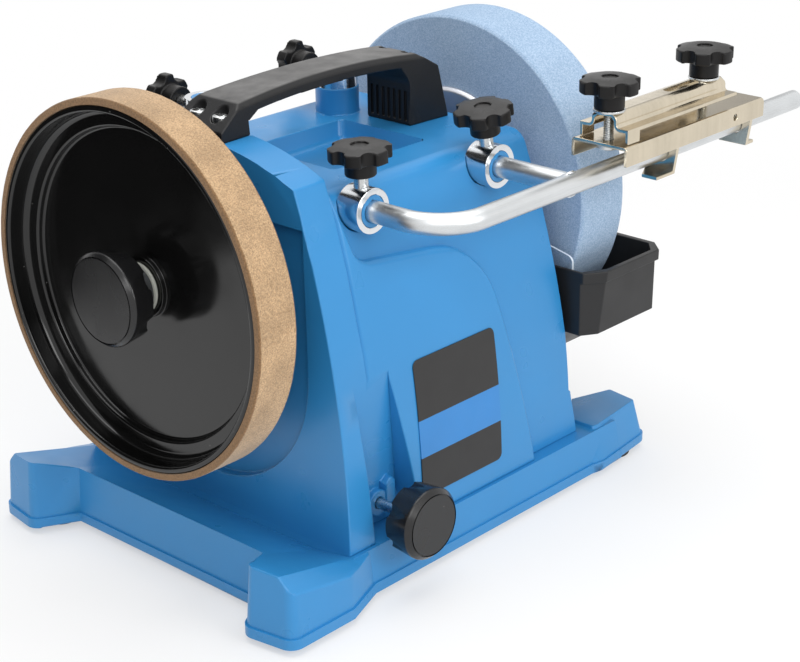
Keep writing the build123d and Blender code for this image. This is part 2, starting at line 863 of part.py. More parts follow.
    # Flat seat and screw holes of the handle
    with BuildSketch(Plane.XY.offset(handle_seat_z)):
        with Locations((housing_left_x + frame_w / 2, 0)):
            Rectangle(frame_w, 2 * (handle_half_w + slip_gap))
    extrude(amount=crown_rise, mode=Mode.SUBTRACT)
    with BuildSketch(Plane.XY.offset(handle_screw_floor_z)):
        with Locations(*handle_screws_at):
            Circle(handle_screw_d / 2)
    extrude(amount=-handle_screw_len, mode=Mode.SUBTRACT)
    # Two ribs on the right wall that the tank slides past
    with BuildSketch(Plane.XY.offset(guide_z[0])):
        with Locations(*[(tank_left_x - slip_gap, side * guide_y) for side in (-1, 1)]):
            Rectangle(2 * wall, guide_w, align=(Align.MAX, Align.CENTER))
    extrude(amount=guide_z[1] - guide_z[0])
pieces["housing"] = housing.part

# Base frame: a lipped, leaning frame with four splayed feet, drawn for the front and mirrored to the back
left_foot = [
    (beam_left_x - left_foot_tip[0], -left_foot_tip[1]),
    (beam_left_x - left_foot_toe[0], -left_foot_toe[1]),
    (beam_left_x + left_foot_heel, -left_foot_toe[1]),
    (beam_left_x + left_foot_root, -beam_half_y),
    (beam_left_x + left_foot_root, -well_half_y + wall),
    (beam_left_x, -left_foot_side_y),
]
right_foot = [
    (beam_right_x - right_foot_root, -beam_half_y),
    (beam_right_x - right_foot_bend[0], -right_foot_bend[1]),
    (beam_right_x + right_foot_toe[0], -right_foot_toe[1]),
    (beam_right_x + right_foot_tip[0], -right_foot_tip[1]),
    (beam_right_x, -right_foot_side_y),
    (beam_right_x - right_foot_root, -well_half_y + wall),
]
left_corners = left_foot[:2]
right_corners = right_foot[2:4]
beam_centre_x = (beam_left_x + beam_right_x) / 2
beam_len = beam_right_x - beam_left_x
plate_half_y = well_half_y + plate_margin
plate_x = (well_x[0] - plate_margin, well_x[1] + plate_margin)
plate_top_z = base_z + plate_seat
plate_centre_x = (plate_x[0] + plate_x[1]) / 2
screw_spots = [
    (plate_x[0] + x_share * (plate_x[1] - plate_x[0]), side * (well_half_y + plate_margin / 2))
    for x_share in plate_screw_shares
    for side in (-1, 1)
]
rubber_spots = [
    (x, side * rubber_y)
    for x in (beam_left_x + rubber_left_in, beam_right_x + rubber_right_out)
    for side in (-1, 1)
]
# Roof over the left end: it falls from the outer wall to the housing, and over the toes to front and back
roof_x = (beam_left_x - left_foot_tip[0], housing_left_x)
crest_half_y = (roof_outer_crest_y, front_foot_y)
with BuildPart() as left_roof:
    for x, crest_y, rises in zip(roof_x, crest_half_y, (roof_outer_rise, roof_inner_rise)):
        toe_z, crest_z, rail_z = [base_top_z + rise for rise in rises]
        with BuildSketch(Plane.YZ.offset(x)):
            Polygon(
                (-left_foot_toe[1], base_z),
                (left_foot_toe[1], base_z),
                (left_foot_toe[1], toe_z),
                (crest_y, crest_z),
                (roof_rail_y, rail_z),
                (-roof_rail_y, rail_z),
                (-crest_y, crest_z),
                (-left_foot_toe[1], toe_z),
                align=None,
            )
    loft(ruled=True)
    extrude(left_roof.faces().sort_by(Axis.X)[-1], amount=left_foot_root)

# The left feet and the rail between them, under that roof
rail_len = housing_left_x - beam_left_x
with BuildPart() as left_end:
    with BuildSketch(Plane.XY.offset(base_z + lip_h)) as left_outline:
        Polygon(*left_foot, align=None)
        mirror(about=Plane.XZ)
        with Locations((beam_left_x, 0)):
            Rectangle(rail_len + wall, 2 * beam_half_y, align=(Align.MIN, Align.CENTER))
        offset(amount=-lip_step, kind=Kind.INTERSECTION, mode=Mode.REPLACE)
        for side in (-1, 1):
            round_corners(left_outline, [(x, side * y) for x, y in left_corners], foot_corner_r)
    extrude(amount=base_h - lip_h + 2 * max(roof_outer_rise), taper=left_foot_lean)
    add(left_roof.part, mode=Mode.INTERSECT)

block_left_x = housing_left_x - (base_h - lip_h) * tan(radians(beam_lean))
with BuildPart() as base_frame:
    for outline, corners in ((left_foot, left_corners), (right_foot, right_corners)):
        with BuildSketch(Plane.XY.offset(base_z)) as lip:
            Polygon(*outline, align=None)
            round_corners(lip, corners, foot_corner_r + lip_step)
        extrude(amount=lip_h)
    with BuildSketch(Plane.XY.offset(base_z + lip_h)) as right_outline:
        Polygon(*right_foot, align=None)
        offset(amount=-lip_step, kind=Kind.INTERSECTION, mode=Mode.REPLACE)
        round_corners(right_outline, right_corners, foot_corner_r)
    extrude(amount=base_h - lip_h + right_foot_rise, taper=right_foot_lean)
    mirror(about=Plane.XZ)
    with BuildSketch(Plane.XY.offset(base_z)):
        with Locations((beam_centre_x, 0)):
            Rectangle(beam_len, 2 * beam_half_y)
    extrude(amount=lip_h)
    with BuildSketch(Plane.XY.offset(base_z + lip_h)):
        with Locations((block_left_x, 0)):
            block_len = beam_right_x - lip_step - block_left_x
            Rectangle(block_len, 2 * (beam_half_y - lip_step), align=(Align.MIN, Align.CENTER))
    extrude(amount=base_h - lip_h, taper=beam_lean)
    # The housing and its tank stand clear above the flat top
    with BuildSketch(Plane.XY.offset(base_top_z)):
        with Locations((housing_left_x / 2, 0)):
            Rectangle(-housing_left_x + 2 * free_gap, 2 * front_foot_y + 2 * free_gap)
    extrude(amount=right_foot_rise, mode=Mode.SUBTRACT)
    add(left_end.part)
    # Open well under the housing and the seat of the bottom plate
    with BuildSketch(Plane.XY.offset(base_z)):
        with Locations(((well_x[0] + well_x[1]) / 2, 0)):
            Rectangle(well_x[1] - well_x[0], 2 * well_half_y)
    extrude(amount=base_h, mode=Mode.SUBTRACT)
    with BuildSketch(Plane.XY.offset(base_z)):
        with Locations((plate_centre_x, 0)):
            Rectangle(plate_x[1] - plate_x[0], 2 * plate_half_y)
    extrude(amount=plate_seat, mode=Mode.SUBTRACT)
    with BuildSketch(Plane.XY.offset(plate_top_z)):
        with Locations(*screw_spots):
            Circle(plate_screw_d / 2)
    extrude(amount=plate_screw_len, mode=Mode.SUBTRACT)
    with BuildSketch(Plane.XY.offset(base_z)):
        with Locations(*rubber_spots):
            Circle(rubber_stud_d / 2)
    extrude(amount=rubber_stud_h, mode=Mode.SUBTRACT)
pieces["base_frame"] = base_frame.part

with BuildPart() as bottom_plate:
    with BuildSketch(Plane.XY.offset(plate_top_z - plate_t)):
        with Locations((plate_centre_x, 0)):
            RectangleRounded(plate_x[1] - plate_x[0] - slip_gap, 2 * plate_half_y - slip_gap, plate_screw_d)
        with Locations(*screw_spots):
            Circle(plate_screw_d / 2, mode=Mode.SUBTRACT)
    extrude(amount=plate_t)
pieces["bottom_plate"] = bottom_plate.part

with BuildPart() as base_screws:
    with BuildSketch(Plane.XY.offset(plate_top_z - plate_t)):
        with Locations(*screw_spots):
            Circle(plate_screw_head_d / 2)
    extrude(amount=-plate_screw_head_h)
    with BuildSketch(Plane.XY.offset(plate_top_z - plate_t)):
        with Locations(*screw_spots):
            Circle(plate_screw_d / 2)
    extrude(amount=plate_screw_len)
pieces["base_screws"] = base_screws.part

with BuildPart() as rubber_feet:
    with BuildSketch(Plane.XY.offset(base_z)):
        with Locations(*rubber_spots):
            Circle(rubber_d / 2)
    extrude(amount=-rubber_h, taper=rubber_draft)
    with BuildSketch(Plane.XY.offset(base_z)):
        with Locations(*rubber_spots):
            Circle(rubber_stud_d / 2)
    extrude(amount=rubber_stud_h)
pieces["rubber_feet"] = rubber_feet.part

# Carrying handle: an arched bar on a short left leg and a long right leg
handle_left_inner_x = handle_left_x + handle_left_leg_w
under_z = handle_crown[1] - handle_bar_t
haunch_z = under_z - handle_haunch_drop
with BuildPart() as carry_handle:
    with BuildSketch(Plane.XZ) as handle_side:
        with BuildLine():
            Polyline(
                (handle_left_top[0], handle_left_top[1]),
                (handle_left_x, handle_left_brow_z),
                (handle_left_x, handle_seat_z),
                (handle_left_inner_x, handle_seat_z),
                (handle_left_inner_x, handle_left_inner_z),
                (handle_left_inner_x + handle_haunch, haunch_z),
            )
            ThreePointArc(
                (handle_left_inner_x + handle_haunch, haunch_z),
                (handle_crown[0], under_z),
                (handle_right_leg_x[0] - handle_haunch, haunch_z),
            )
            Polyline(
                (handle_right_leg_x[0] - handle_haunch, haunch_z),
                (handle_right_leg_x[0], haunch_z - handle_leg_drop),
                (handle_right_leg_x[0], deck_z),
                (handle_right_leg_x[1], deck_z),
                handle_right_brow,
                handle_right_top,
            )
            ThreePointArc(handle_right_top, handle_crown, handle_left_top)
        make_face()
        leg_head = (handle_right_leg_x[0], haunch_z - handle_leg_drop)
        fillet(handle_side.vertices().sort_by_distance(leg_head)[0], handle_leg_r)
    extrude(amount=handle_half_w, both=True)
    # The bar narrows towards its middle
    with BuildSketch(Plane.XY.offset(deck_z)):
        with BuildLine():
            end_x = handle_right_leg_x[1]
            waist_x = (handle_left_x + end_x) / 2
            for side in (-1, 1):
                ThreePointArc(
                    (handle_left_x, side * handle_half_w),
                    (waist_x, side * handle_waist_half_w),
                    (end_x, side * handle_half_w),
                )
            for x in (handle_left_x, end_x):
                Line((x, -handle_half_w), (x, handle_half_w))
        make_face()
    extrude(amount=handle_crown[1], mode=Mode.INTERSECT)
    top_face = carry_handle.faces().sort_by(Axis.Z)[-1]
    chamfer(top_face.edges().filter_by(GeomType.LINE, reverse=True), handle_edge)
    with BuildSketch(Plane.XY.offset(handle_screw_floor_z)):
        with Locations(*handle_screws_at):
            Circle(handle_screw_head_d / 2 + slip_gap)
    extrude(amount=handle_crown[1] - handle_screw_floor_z, mode=Mode.SUBTRACT)
    with BuildSketch(Plane.XY.offset(handle_seat_z)):
        with Locations(*handle_screws_at):
            Circle(handle_screw_d / 2)
    extrude(amount=handle_screw_floor_z - handle_seat_z, mode=Mode.SUBTRACT)
    # Two blind holes over the right leg, and grooves down its inner face
    with BuildSketch(Plane.XY.offset(handle_right_top[1] - handle_hole_depth)):
        with Locations(*[(handle_hole_x, side * handle_screw_y) for side in (-1, 1)]):
            Circle(handle_hole_d / 2)
    extrude(amount=handle_crown[1], mode=Mode.SUBTRACT)
    with BuildSketch(Plane.YZ.offset(handle_right_leg_x[0])):
        with Locations((0, (leg_groove_z[0] + leg_groove_z[1]) / 2)):
            with GridLocations(leg_groove_pitch, leg_groove_pitch, leg_grooves, 1):
                Rectangle(leg_groove_w, leg_groove_z[1] - leg_groove_z[0])
    extrude(amount=leg_groove_depth, mode=Mode.SUBTRACT)
pieces["carry_handle"] = carry_handle.part

with BuildPart() as handle_screws:
    with BuildSketch(Plane.XY.offset(handle_screw_floor_z)):
        with Locations(*handle_screws_at):
            Circle(handle_screw_head_d / 2)
    extrude(amount=handle_screw_head_h)
    with BuildSketch(Plane.XY.offset(handle_screw_floor_z)):
        with Locations(*handle_screws_at):
            Circle(handle_screw_d / 2)
    extrude(amount=-handle_screw_len)
pieces["handle_screws"] = handle_screws.part

# Clamp collars on the noses, with a hole for each screw
with BuildPart() as front_collars:
    for x in sleeve_x:
        add(tube((x, front_face_y, sleeve_z), (0, 1, 0), collar_len, collar_d, nose_d + 2 * running_gap))
    for x, way in zip(sleeve_x, front_screw_ways):
        with BuildSketch(Plane((x, front_screw_y, sleeve_z), z_dir=way)):
            Circle(clamp_hole / 2)
        extrude(amount=collar_d, mode=Mode.SUBTRACT)
pieces["front_collars"] = front_collars.part
with BuildPart() as rear_collars:
    for x in sleeve_x:
        seat = (x, rear_sleeve_y, rear_boss_top_z)
        add(tube(seat, (0, 0, 1), rear_collar_len, collar_d, nose_d + 2 * running_gap))
    with BuildSketch(Plane.XZ.offset(-rear_sleeve_y)):
        with Locations(*[(x, rear_screw_z) for x in sleeve_x]):
            Circle(clamp_hole / 2)
    extrude(amount=-collar_d, mode=Mode.SUBTRACT)
pieces["rear_collars"] = rear_collars.part

# Star knobs and their clamp screws: the front ones stand up, leaning a little, the rear ones point back
screw_tip = leg_d / 2 + slip_gap
front_lift = collar_d / 2 + clamp_stem
rear_lift = collar_d / 2 + rear_stem
screw_in_head = star_hub_h + star_h - star_blind
for side, x, way in zip(("left", "right"), sleeve_x, front_screw_ways):
    sleeve_centre = (x, front_screw_y, sleeve_z)
    pieces["front_knob_" + side] = star_head(
        along(sleeve_centre, way, front_lift), way, star_d, star_hub_h, clamp_screw_d
    )
    pieces["front_screw_" + side] = rod(
        along(sleeve_centre, way, screw_tip),
        way,
        front_lift - screw_tip + screw_in_head,
        clamp_screw_d,
        bar_edge,
    )
    pieces["rear_knob_" + side] = star_head(
        (x, rear_sleeve_y + rear_lift, rear_screw_z), (0, 1, 0), rear_star_d, star_hub_h, clamp_screw_d
    )
    pieces["rear_screw_" + side] = rod(
        (x, rear_sleeve_y + screw_tip, rear_screw_z),
        (0, 1, 0),
        rear_lift - screw_tip + screw_in_head,
        clamp_screw_d,
        bar_edge,
    )

# Support bar: one rod bent into the left leg, and a right leg coped onto it
with BuildPart() as support_bar:
    with BuildLine() as bar_path:
        bar_corner = (sleeve_x[0], bar_y, sleeve_z)
        bar_end = (bar_end_x, bar_y, sleeve_z)
        FilletPolyline((sleeve_x[0], leg_end_y, sleeve_z), bar_corner, bar_end, radius=bend_r)
    with BuildSketch(Plane((sleeve_x[0], leg_end_y, sleeve_z), z_dir=(0, -1, 0))):
        Circle(leg_d / 2)
    sweep(path=bar_path.wires()[0])
    chamfer(support_bar.edges().filter_by(GeomType.CIRCLE).sort_by(Axis.X)[-1], bar_edge)
pieces["support_bar"] = support_bar.part
with BuildPart() as support_leg:
    with BuildSketch(Plane.XZ.offset(-leg_end_y)):
        with Locations((sleeve_x[1], sleeve_z)):
            Circle(leg_d / 2)
    extrude(amount=leg_end_y - bar_y)
    with BuildSketch(Plane.YZ.offset(sleeve_x[1] - leg_d)):
        with Locations((bar_y, sleeve_z)):
            Circle(leg_d / 2)
    extrude(amount=2 * leg_d, mode=Mode.SUBTRACT)
pieces["support_leg"] = support_leg.part

# Water tank: a trough with a shelf at each end, chamfered corners and a rim
tank_right_x = stone_w + tank_right_margin
tank_rim_y = stone_r + tank_rim_reach
tank_knee_y = stone_r + tank_knee_reach


def tank_block(inset, top_z):
    """Trough-shaped block, its walls moved in by inset, up to top_z."""
    with BuildPart() as block:
        with BuildSketch(Plane.YZ.offset(tank_left_x + inset)):
            Polygon(
                (-tank_rim_y + inset, top_z),
                (-tank_rim_y + inset, tank_rim_z),
                (-tank_knee_y + inset, tank_knee_z + inset),
                (-tank_shelf_half, tank_knee_z + inset),
                (-tank_floor_half, tank_floor_z + inset),
                (tank_floor_half, tank_floor_z + inset),
                (tank_shelf_half, tank_knee_z + inset),
                (tank_knee_y - inset, tank_knee_z + inset),
                (tank_rim_y - inset, tank_rim_z),
                (tank_rim_y - inset, top_z),
                align=None,
            )
        extrude(amount=tank_right_x - tank_left_x - 2 * inset)
        with BuildSketch(Plane.XY.offset(tank_floor_z)):
            with BuildLine():
                left = tank_left_x + inset
                right = tank_right_x - inset
                front = tank_rim_y - inset
                side = tank_rim_y - tank_corner_y - inset / 2
                Polyline(
                    (left, -side),
                    (left + tank_corner_x, -front),
                    (right - tank_corner_y, -front),
                    (right, -side),
                    (right, side),
                    (right - tank_corner_y, front),
                    (left + tank_corner_x, front),
                    (left, side),
                    close=True,
                )
            make_face()
        extrude(amount=top_z - tank_floor_z, mode=Mode.INTERSECT)
    return block.part


with BuildPart() as tank_rim:
    add(tank_block(-tank_rim_out, tank_rim_z))
    with BuildSketch(Plane.XY.offset(tank_rim_z)):
        with Locations((tank_left_x, 0)):
            Rectangle(2 * tank_right_x, 4 * tank_rim_y, align=(Align.MIN, Align.CENTER))
    extrude(amount=-tank_rim_h, mode=Mode.INTERSECT)

with BuildPart() as water_tank:
    add(tank_block(0, tank_rim_z))
    add(tank_rim.part)
    add(tank_block(tank_wall, tank_rim_z + free_gap), mode=Mode.SUBTRACT)
pieces["water_tank"] = water_tank.part

guard_x = tank_left_x + tank_wall
with BuildPart() as splash_guard:
    with BuildSketch(Plane.YZ.offset(guard_x)):
        Polygon(
            (guard_y[0], guard_low_z),
            (guard_y[1], guard_low_z),
            (guard_y[1], guard_top_z[1]),
            (guard_y[0], guard_top_z[0]),
            align=None,
        )
    extrude(amount=guard_t)
pieces["splash_guard"] = splash_guard.part

# Tool jig: a sheet channel on two hook plates that ride on the bar, and a hat-shaped clamp bar above it
jig_top_z = sleeve_z + jig_top_over_bar
jig_len = jig_x[1] - jig_x[0]
clamp_low_z = jig_top_z + tool_gap
clamp_top_z = clamp_low_z + hat_h
clamp_len = clamp_x[1] - clamp_x[0]
stud_spots = [(x, bar_y) for x in stud_x]
with BuildPart() as jig_base:
    with BuildSketch(Plane.YZ.offset(jig_x[0])) as channel:
        with Locations((bar_y, jig_top_z - jig_flange_h / 2)):
            Rectangle(2 * jig_half_w, jig_flange_h)
        fillet(channel.vertices().group_by(Axis.Y)[-1], jig_corner_r)
        with Locations((bar_y, jig_top_z - jig_flange_h / 2 - jig_sheet)):
            Rectangle(2 * (jig_half_w - jig_sheet), jig_flange_h, mode=Mode.SUBTRACT)
    extrude(amount=jig_len)
    with BuildSketch(Plane.XY.offset(jig_top_z - jig_sheet)):
        with Locations(*stud_spots):
            Circle(stud_d / 2)
    extrude(amount=jig_sheet, mode=Mode.SUBTRACT)
    with BuildSketch(Plane.XZ.offset(jig_half_w - bar_y)):
        with Locations((flange_hole_x, jig_top_z - jig_flange_h / 2)):
            Circle(flange_hole_d / 2)
    extrude(amount=-jig_half_w, mode=Mode.SUBTRACT)
pieces["jig_base"] = jig_base.part
with BuildPart() as jig_hooks:
    hook_top_z = jig_top_z - jig_sheet
    hook_low_z = sleeve_z - hook_drop
    for x, way, foot_len in zip(hook_x, (-1, 1), hook_foot_len):
        with BuildSketch(Plane.YZ.offset(x - hook_t / 2)):
            Polygon(
                (bar_y - hook_top_half_w, hook_top_z),
                (bar_y - hook_low_half_w, hook_low_z),
                (bar_y + hook_low_half_w, hook_low_z),
                (bar_y + hook_top_half_w, hook_top_z),
                align=None,
            )
            with Locations((bar_y, sleeve_z)):
                Circle(leg_d / 2 + slip_gap, mode=Mode.SUBTRACT)
        extrude(amount=hook_t)
        with BuildSketch(Plane.XY.offset(hook_low_z)):
            Polygon(
                (x, bar_y - hook_low_half_w),
                (x + way * (foot_len + hook_t / 2), bar_y - hook_low_half_w),
                (x + way * (foot_len + hook_t / 2), bar_y - hook_low_half_w + hook_foot_w),
                (x, bar_y + hook_low_half_w),
                align=None,
            )
        extrude(amount=jig_sheet)
pieces["jig_hooks"] = jig_hooks.part
with BuildPart() as jig_clamp_bar:
    with BuildSketch(Plane.YZ.offset(clamp_x[0])):
        with Locations((bar_y, clamp_low_z + jig_sheet / 2)):
            Rectangle(2 * hat_brim_half_w, jig_sheet)
        with Locations((bar_y, clamp_low_z + hat_h / 2)):
            Rectangle(hat_top_w, hat_h)
        with Locations((bar_y, clamp_low_z + hat_h / 2 - jig_sheet)):
            Rectangle(hat_top_w - 2 * jig_sheet, hat_h, mode=Mode.SUBTRACT)
    extrude(amount=clamp_len)
    for side in (-1, 1):
        with BuildSketch(Plane.XY.offset(clamp_low_z)):
            with Locations((clamp_x[0] + tab_len / 2, bar_y + side * (hat_brim_half_w - jig_sheet / 2))):
                Rectangle(tab_len, jig_sheet)
        extrude(amount=slip_gap - tool_gap)
    with BuildSketch(Plane.XY.offset(clamp_top_z - jig_sheet)):
        with Locations(*stud_spots):
            Circle(stud_d / 2 + slip_gap)
        with Locations((stud_x[1] - clamp_slot_len / 2, bar_y)):
            SlotCenterToCenter(clamp_slot_len, stud_d + 2 * slip_gap)
    extrude(amount=jig_sheet, mode=Mode.SUBTRACT)
pieces["jig_clamp_bar"] = jig_clamp_bar.part
with BuildPart() as jig_studs:
    with BuildSketch(Plane.XY.offset(jig_top_z - jig_sheet)):
        with Locations(*stud_spots):
            Circle(stud_head_d / 2)
    extrude(amount=-stud_head_h)
    with BuildSketch(Plane.XY.offset(jig_top_z - jig_sheet)):
        with Locations(*stud_spots):
            Circle(stud_d / 2)
    extrude(amount=clamp_top_z + stud_over - jig_top_z + jig_sheet)
pieces["jig_studs"] = jig_studs.part
with BuildPart() as jig_washers:
    for x in stud_x:
        add(tube((x, bar_y, clamp_top_z), (0, 0, 1), jig_washer_t, jig_washer_d, stud_d + 2 * slip_gap))
pieces["jig_washers"] = jig_washers.part
for side, x in zip(("left", "right"), stud_x):
    seat = (x, bar_y, clamp_top_z + jig_washer_t)
    pieces["jig_knob_" + side] = star_head(seat, (0, 0, 1), star_d, jig_hub_h, stud_d + 2 * running_gap)

# Motor: stator, windings, end shields and bearings hang in the cradle
motor_x1 = motor_x0 + 2 * shield_w + stator_len
stator_x = (motor_x0 + shield_w, motor_x1 - shield_w)
bearing_seat = shield_wall / 2
motor_ends = ((motor_x0, 1), (motor_x1, -1))
pieces["motor_stator"] = tube((stator_x[0], 0, motor_z), (1, 0, 0), stator_len, motor_d, stator_bore)
with BuildPart() as motor_windings:
    for x, way in ((stator_x[0], -1), (stator_x[1], 1)):
        add(tube((x, 0, motor_z), (way, 0, 0), winding_w, winding_d[1], winding_d[0]))
pieces["motor_windings"] = motor_windings.part
shield_profile = [
    (0, motor_shaft_d / 2 + free_gap),
    (bearing_seat, motor_shaft_d / 2 + free_gap),
    (bearing_seat, bearing_d / 2),
    (bearing_seat + bearing_w, bearing_d / 2),
    (bearing_seat + bearing_w, bearing_d / 2 + shield_wall),
    (shield_wall, bearing_d / 2 + shield_wall),
    (shield_wall, motor_d / 2 - shield_wall),
    (shield_w, motor_d / 2 - shield_wall),
    (shield_w, motor_d / 2),
    (0, motor_d / 2),
]
with BuildPart() as motor_end_shields:
    for x, way in motor_ends:
        add(turned((x, 0, motor_z), (way, 0, 0), shield_profile))
pieces["motor_end_shields"] = motor_end_shields.part
with BuildPart() as motor_bearings:
    for x, way in motor_ends:
        start = (x + way * bearing_seat, 0, motor_z)
        add(tube(start, (way, 0, 0), bearing_w, bearing_d, motor_shaft_d + 2 * running_gap))
pieces["motor_bearings"] = motor_bearings.part

# Rotor, shaft, drive roller and fan
roller_x = ring_x + free_gap
fan_x = motor_x1 + cheek_t + 2 * free_gap
shaft_end_x = fan_x + fan_w + free_gap
pieces["motor_shaft"] = rod(
    (roller_x, 0, motor_z), (1, 0, 0), shaft_end_x - roller_x, motor_shaft_d, pin_edge
)
pieces["drive_roller"] = tube((roller_x, 0, motor_z), (1, 0, 0), roller_w, roller_d, motor_shaft_d)
pieces["motor_rotor"] = tube(
    (stator_x[0], 0, motor_z), (1, 0, 0), stator_len, stator_bore - 2 * air_gap, motor_shaft_d
)
with BuildPart() as cooling_fan:
    with BuildSketch(Plane.YZ.offset(fan_x)):
        with Locations((0, motor_z)):
            Circle(fan_d / 2)
    extrude(amount=fan_blade_t)
    with BuildSketch(Plane.YZ.offset(fan_x)):
        with Locations((0, motor_z)):
            Circle(fan_hub_d / 2)
            with PolarLocations((fan_d + fan_hub_d) / 4 - fan_blade_t, fan_blades):
                Rectangle((fan_d - fan_hub_d) / 2, fan_blade_t)
    extrude(amount=fan_w)
    with BuildSketch(Plane.YZ.offset(fan_x)):
        with Locations((0, motor_z)):
            Circle(motor_shaft_d / 2)
    extrude(amount=fan_w, mode=Mode.SUBTRACT)
pieces["cooling_fan"] = cooling_fan.part

# Cradle: two cheeks on a tie plate, swinging on a pivot pin behind the motor
tie_top_z = motor_z - motor_d / 2 - free_gap / 2
ear_r = trunnion_stub_d / 2 + cheek_t
with BuildPart() as motor_cradle:
    for x, has_ear in ((motor_x0 - cheek_t, True), (motor_x1, False)):
        with BuildSketch(Plane.YZ.offset(x)):
            with Locations((0, motor_z), (pivot_y, motor_z)):
                Circle(cheek_r / 2)
            with Locations((0, motor_z)):
                Circle(cheek_r)
            with Locations((pivot_y / 2, motor_z)):
                Rectangle(pivot_y, cheek_arm_h)
            with Locations((0, (motor_z + tie_top_z) / 2)):
                Rectangle(2 * tie_half_w, motor_z - tie_top_z)
            if has_ear:
                with Locations((pivot_y, (motor_z + tension_z) / 2)):
                    Rectangle(2 * ear_r, motor_z - tension_z)
                with Locations((pivot_y, tension_z)):
                    Circle(ear_r)
                    Circle(trunnion_stub_d / 2, mode=Mode.SUBTRACT)
            with Locations((0, motor_z)):
                Circle(bearing_d / 2, mode=Mode.SUBTRACT)
            with Locations((pivot_y, motor_z)):
                Circle(pivot_d / 2 + running_gap, mode=Mode.SUBTRACT)
        extrude(amount=cheek_t)
    with BuildSketch(Plane.XY.offset(tie_top_z - cheek_t)):
        with Locations(((motor_x0 + motor_x1) / 2, 0)):
            Rectangle(motor_x1 - motor_x0 + 2 * cheek_t, 2 * tie_half_w)
    extrude(amount=cheek_t)
pieces["motor_cradle"] = motor_cradle.part

bracket_x = (motor_x0 + slip_gap, motor_x1 - slip_gap)
with BuildPart() as cradle_bracket:
    with BuildSketch(Plane.XY.offset(plate_top_z)):
        with Locations(((bracket_x[0] + bracket_x[1]) / 2, pivot_y)):
            Rectangle(bracket_x[1] - bracket_x[0], 2 * bracket_half_w)
    extrude(amount=bracket_t)
    for x in (bracket_x[0], bracket_x[1] - bracket_t):
        with BuildSketch(Plane.YZ.offset(x)):
            with Locations((pivot_y, (plate_top_z + motor_z) / 2)):
                Rectangle(2 * bracket_half_w, motor_z - plate_top_z)
            with Locations((pivot_y, motor_z)):
                Circle(bracket_half_w)
                Circle(pivot_d / 2, mode=Mode.SUBTRACT)
        extrude(amount=bracket_t)
pieces["cradle_bracket"] = cradle_bracket.part
pin_over = cheek_t + 2 * free_gap
pieces["cradle_pivot_pin"] = rod(
    (motor_x0 - pin_over, pivot_y, motor_z), (1, 0, 0), motor_x1 - motor_x0 + 2 * pin_over, pivot_d, pin_edge
)

# Tension screw through the front, its hand knob, and the trunnion nut that swings the cradle
with BuildPart() as tension_nut:
    add(
        turned(
            (motor_x0, pivot_y, tension_z),
            (-1, 0, 0),
            [
                (0, 0),
                (0, trunnion_stub_d / 2),
                (cheek_t, trunnion_stub_d / 2),
                (cheek_t, trunnion_d / 2),
                (motor_x0 - tension_x + trunnion_d / 2, trunnion_d / 2),
                (motor_x0 - tension_x + trunnion_d / 2, 0),
            ],
        )
    )
    with BuildSketch(Plane.XZ.offset(-pivot_y)):
        with Locations((tension_x, tension_z)):
            Circle(tension_rod_d / 2 + 1.5 * slip_gap)
    extrude(amount=trunnion_d, both=True, mode=Mode.SUBTRACT)
pieces["tension_nut"] = tension_nut.part
knob_seat_y = -(beam_half_y + tension_knob_gap)
rod_grip_len = tension_grip_share * tension_knob_len
pieces["tension_knob"] = fluted_grip(
    (tension_x, knob_seat_y, tension_z),
    (0, -1, 0),
    tension_knob_d,
    tension_knob_len,
    tension_cap_d,
    tension_cap_t,
    tension_rod_d,
    rod_grip_len,
)
pieces["tension_screw"] = rod(
    (tension_x, knob_seat_y - rod_grip_len, tension_z),
    (0, 1, 0),
    pivot_y + tension_tail - knob_seat_y + rod_grip_len,
    tension_rod_d,
    pin_edge,
)

# Label plate on the bowed panel
label_mid_z = (label_z[0] + label_z[1]) / 2
label_heights = (label_z[0] - label_corner_r, label_mid_z, label_z[1] + label_corner_r)
label_back = [(front_y(z, -label_bond), z) for z in label_heights]
label_front = [(front_y(z, -label_bond - label_t), z) for z in label_heights]
with BuildPart() as label_plate:
    with BuildSketch(Plane.YZ.offset(label_x[0] - label_corner_r)):
        with BuildLine():
            ThreePointArc(*label_back)
            ThreePointArc(*label_front)
            Line(label_back[0], label_front[0])
            Line(label_back[-1], label_front[-1])
        make_face()
    extrude(amount=label_x[1] - label_x[0] + 2 * label_corner_r)
    with BuildSketch(Plane.XZ):
        with Locations(((label_x[0] + label_x[1]) / 2, label_mid_z)):
            RectangleRounded(label_x[1] - label_x[0], label_z[1] - label_z[0], label_corner_r)
    extrude(amount=2 * front_foot_y, mode=Mode.INTERSECT)
pieces["label_plate"] = label_plate.part

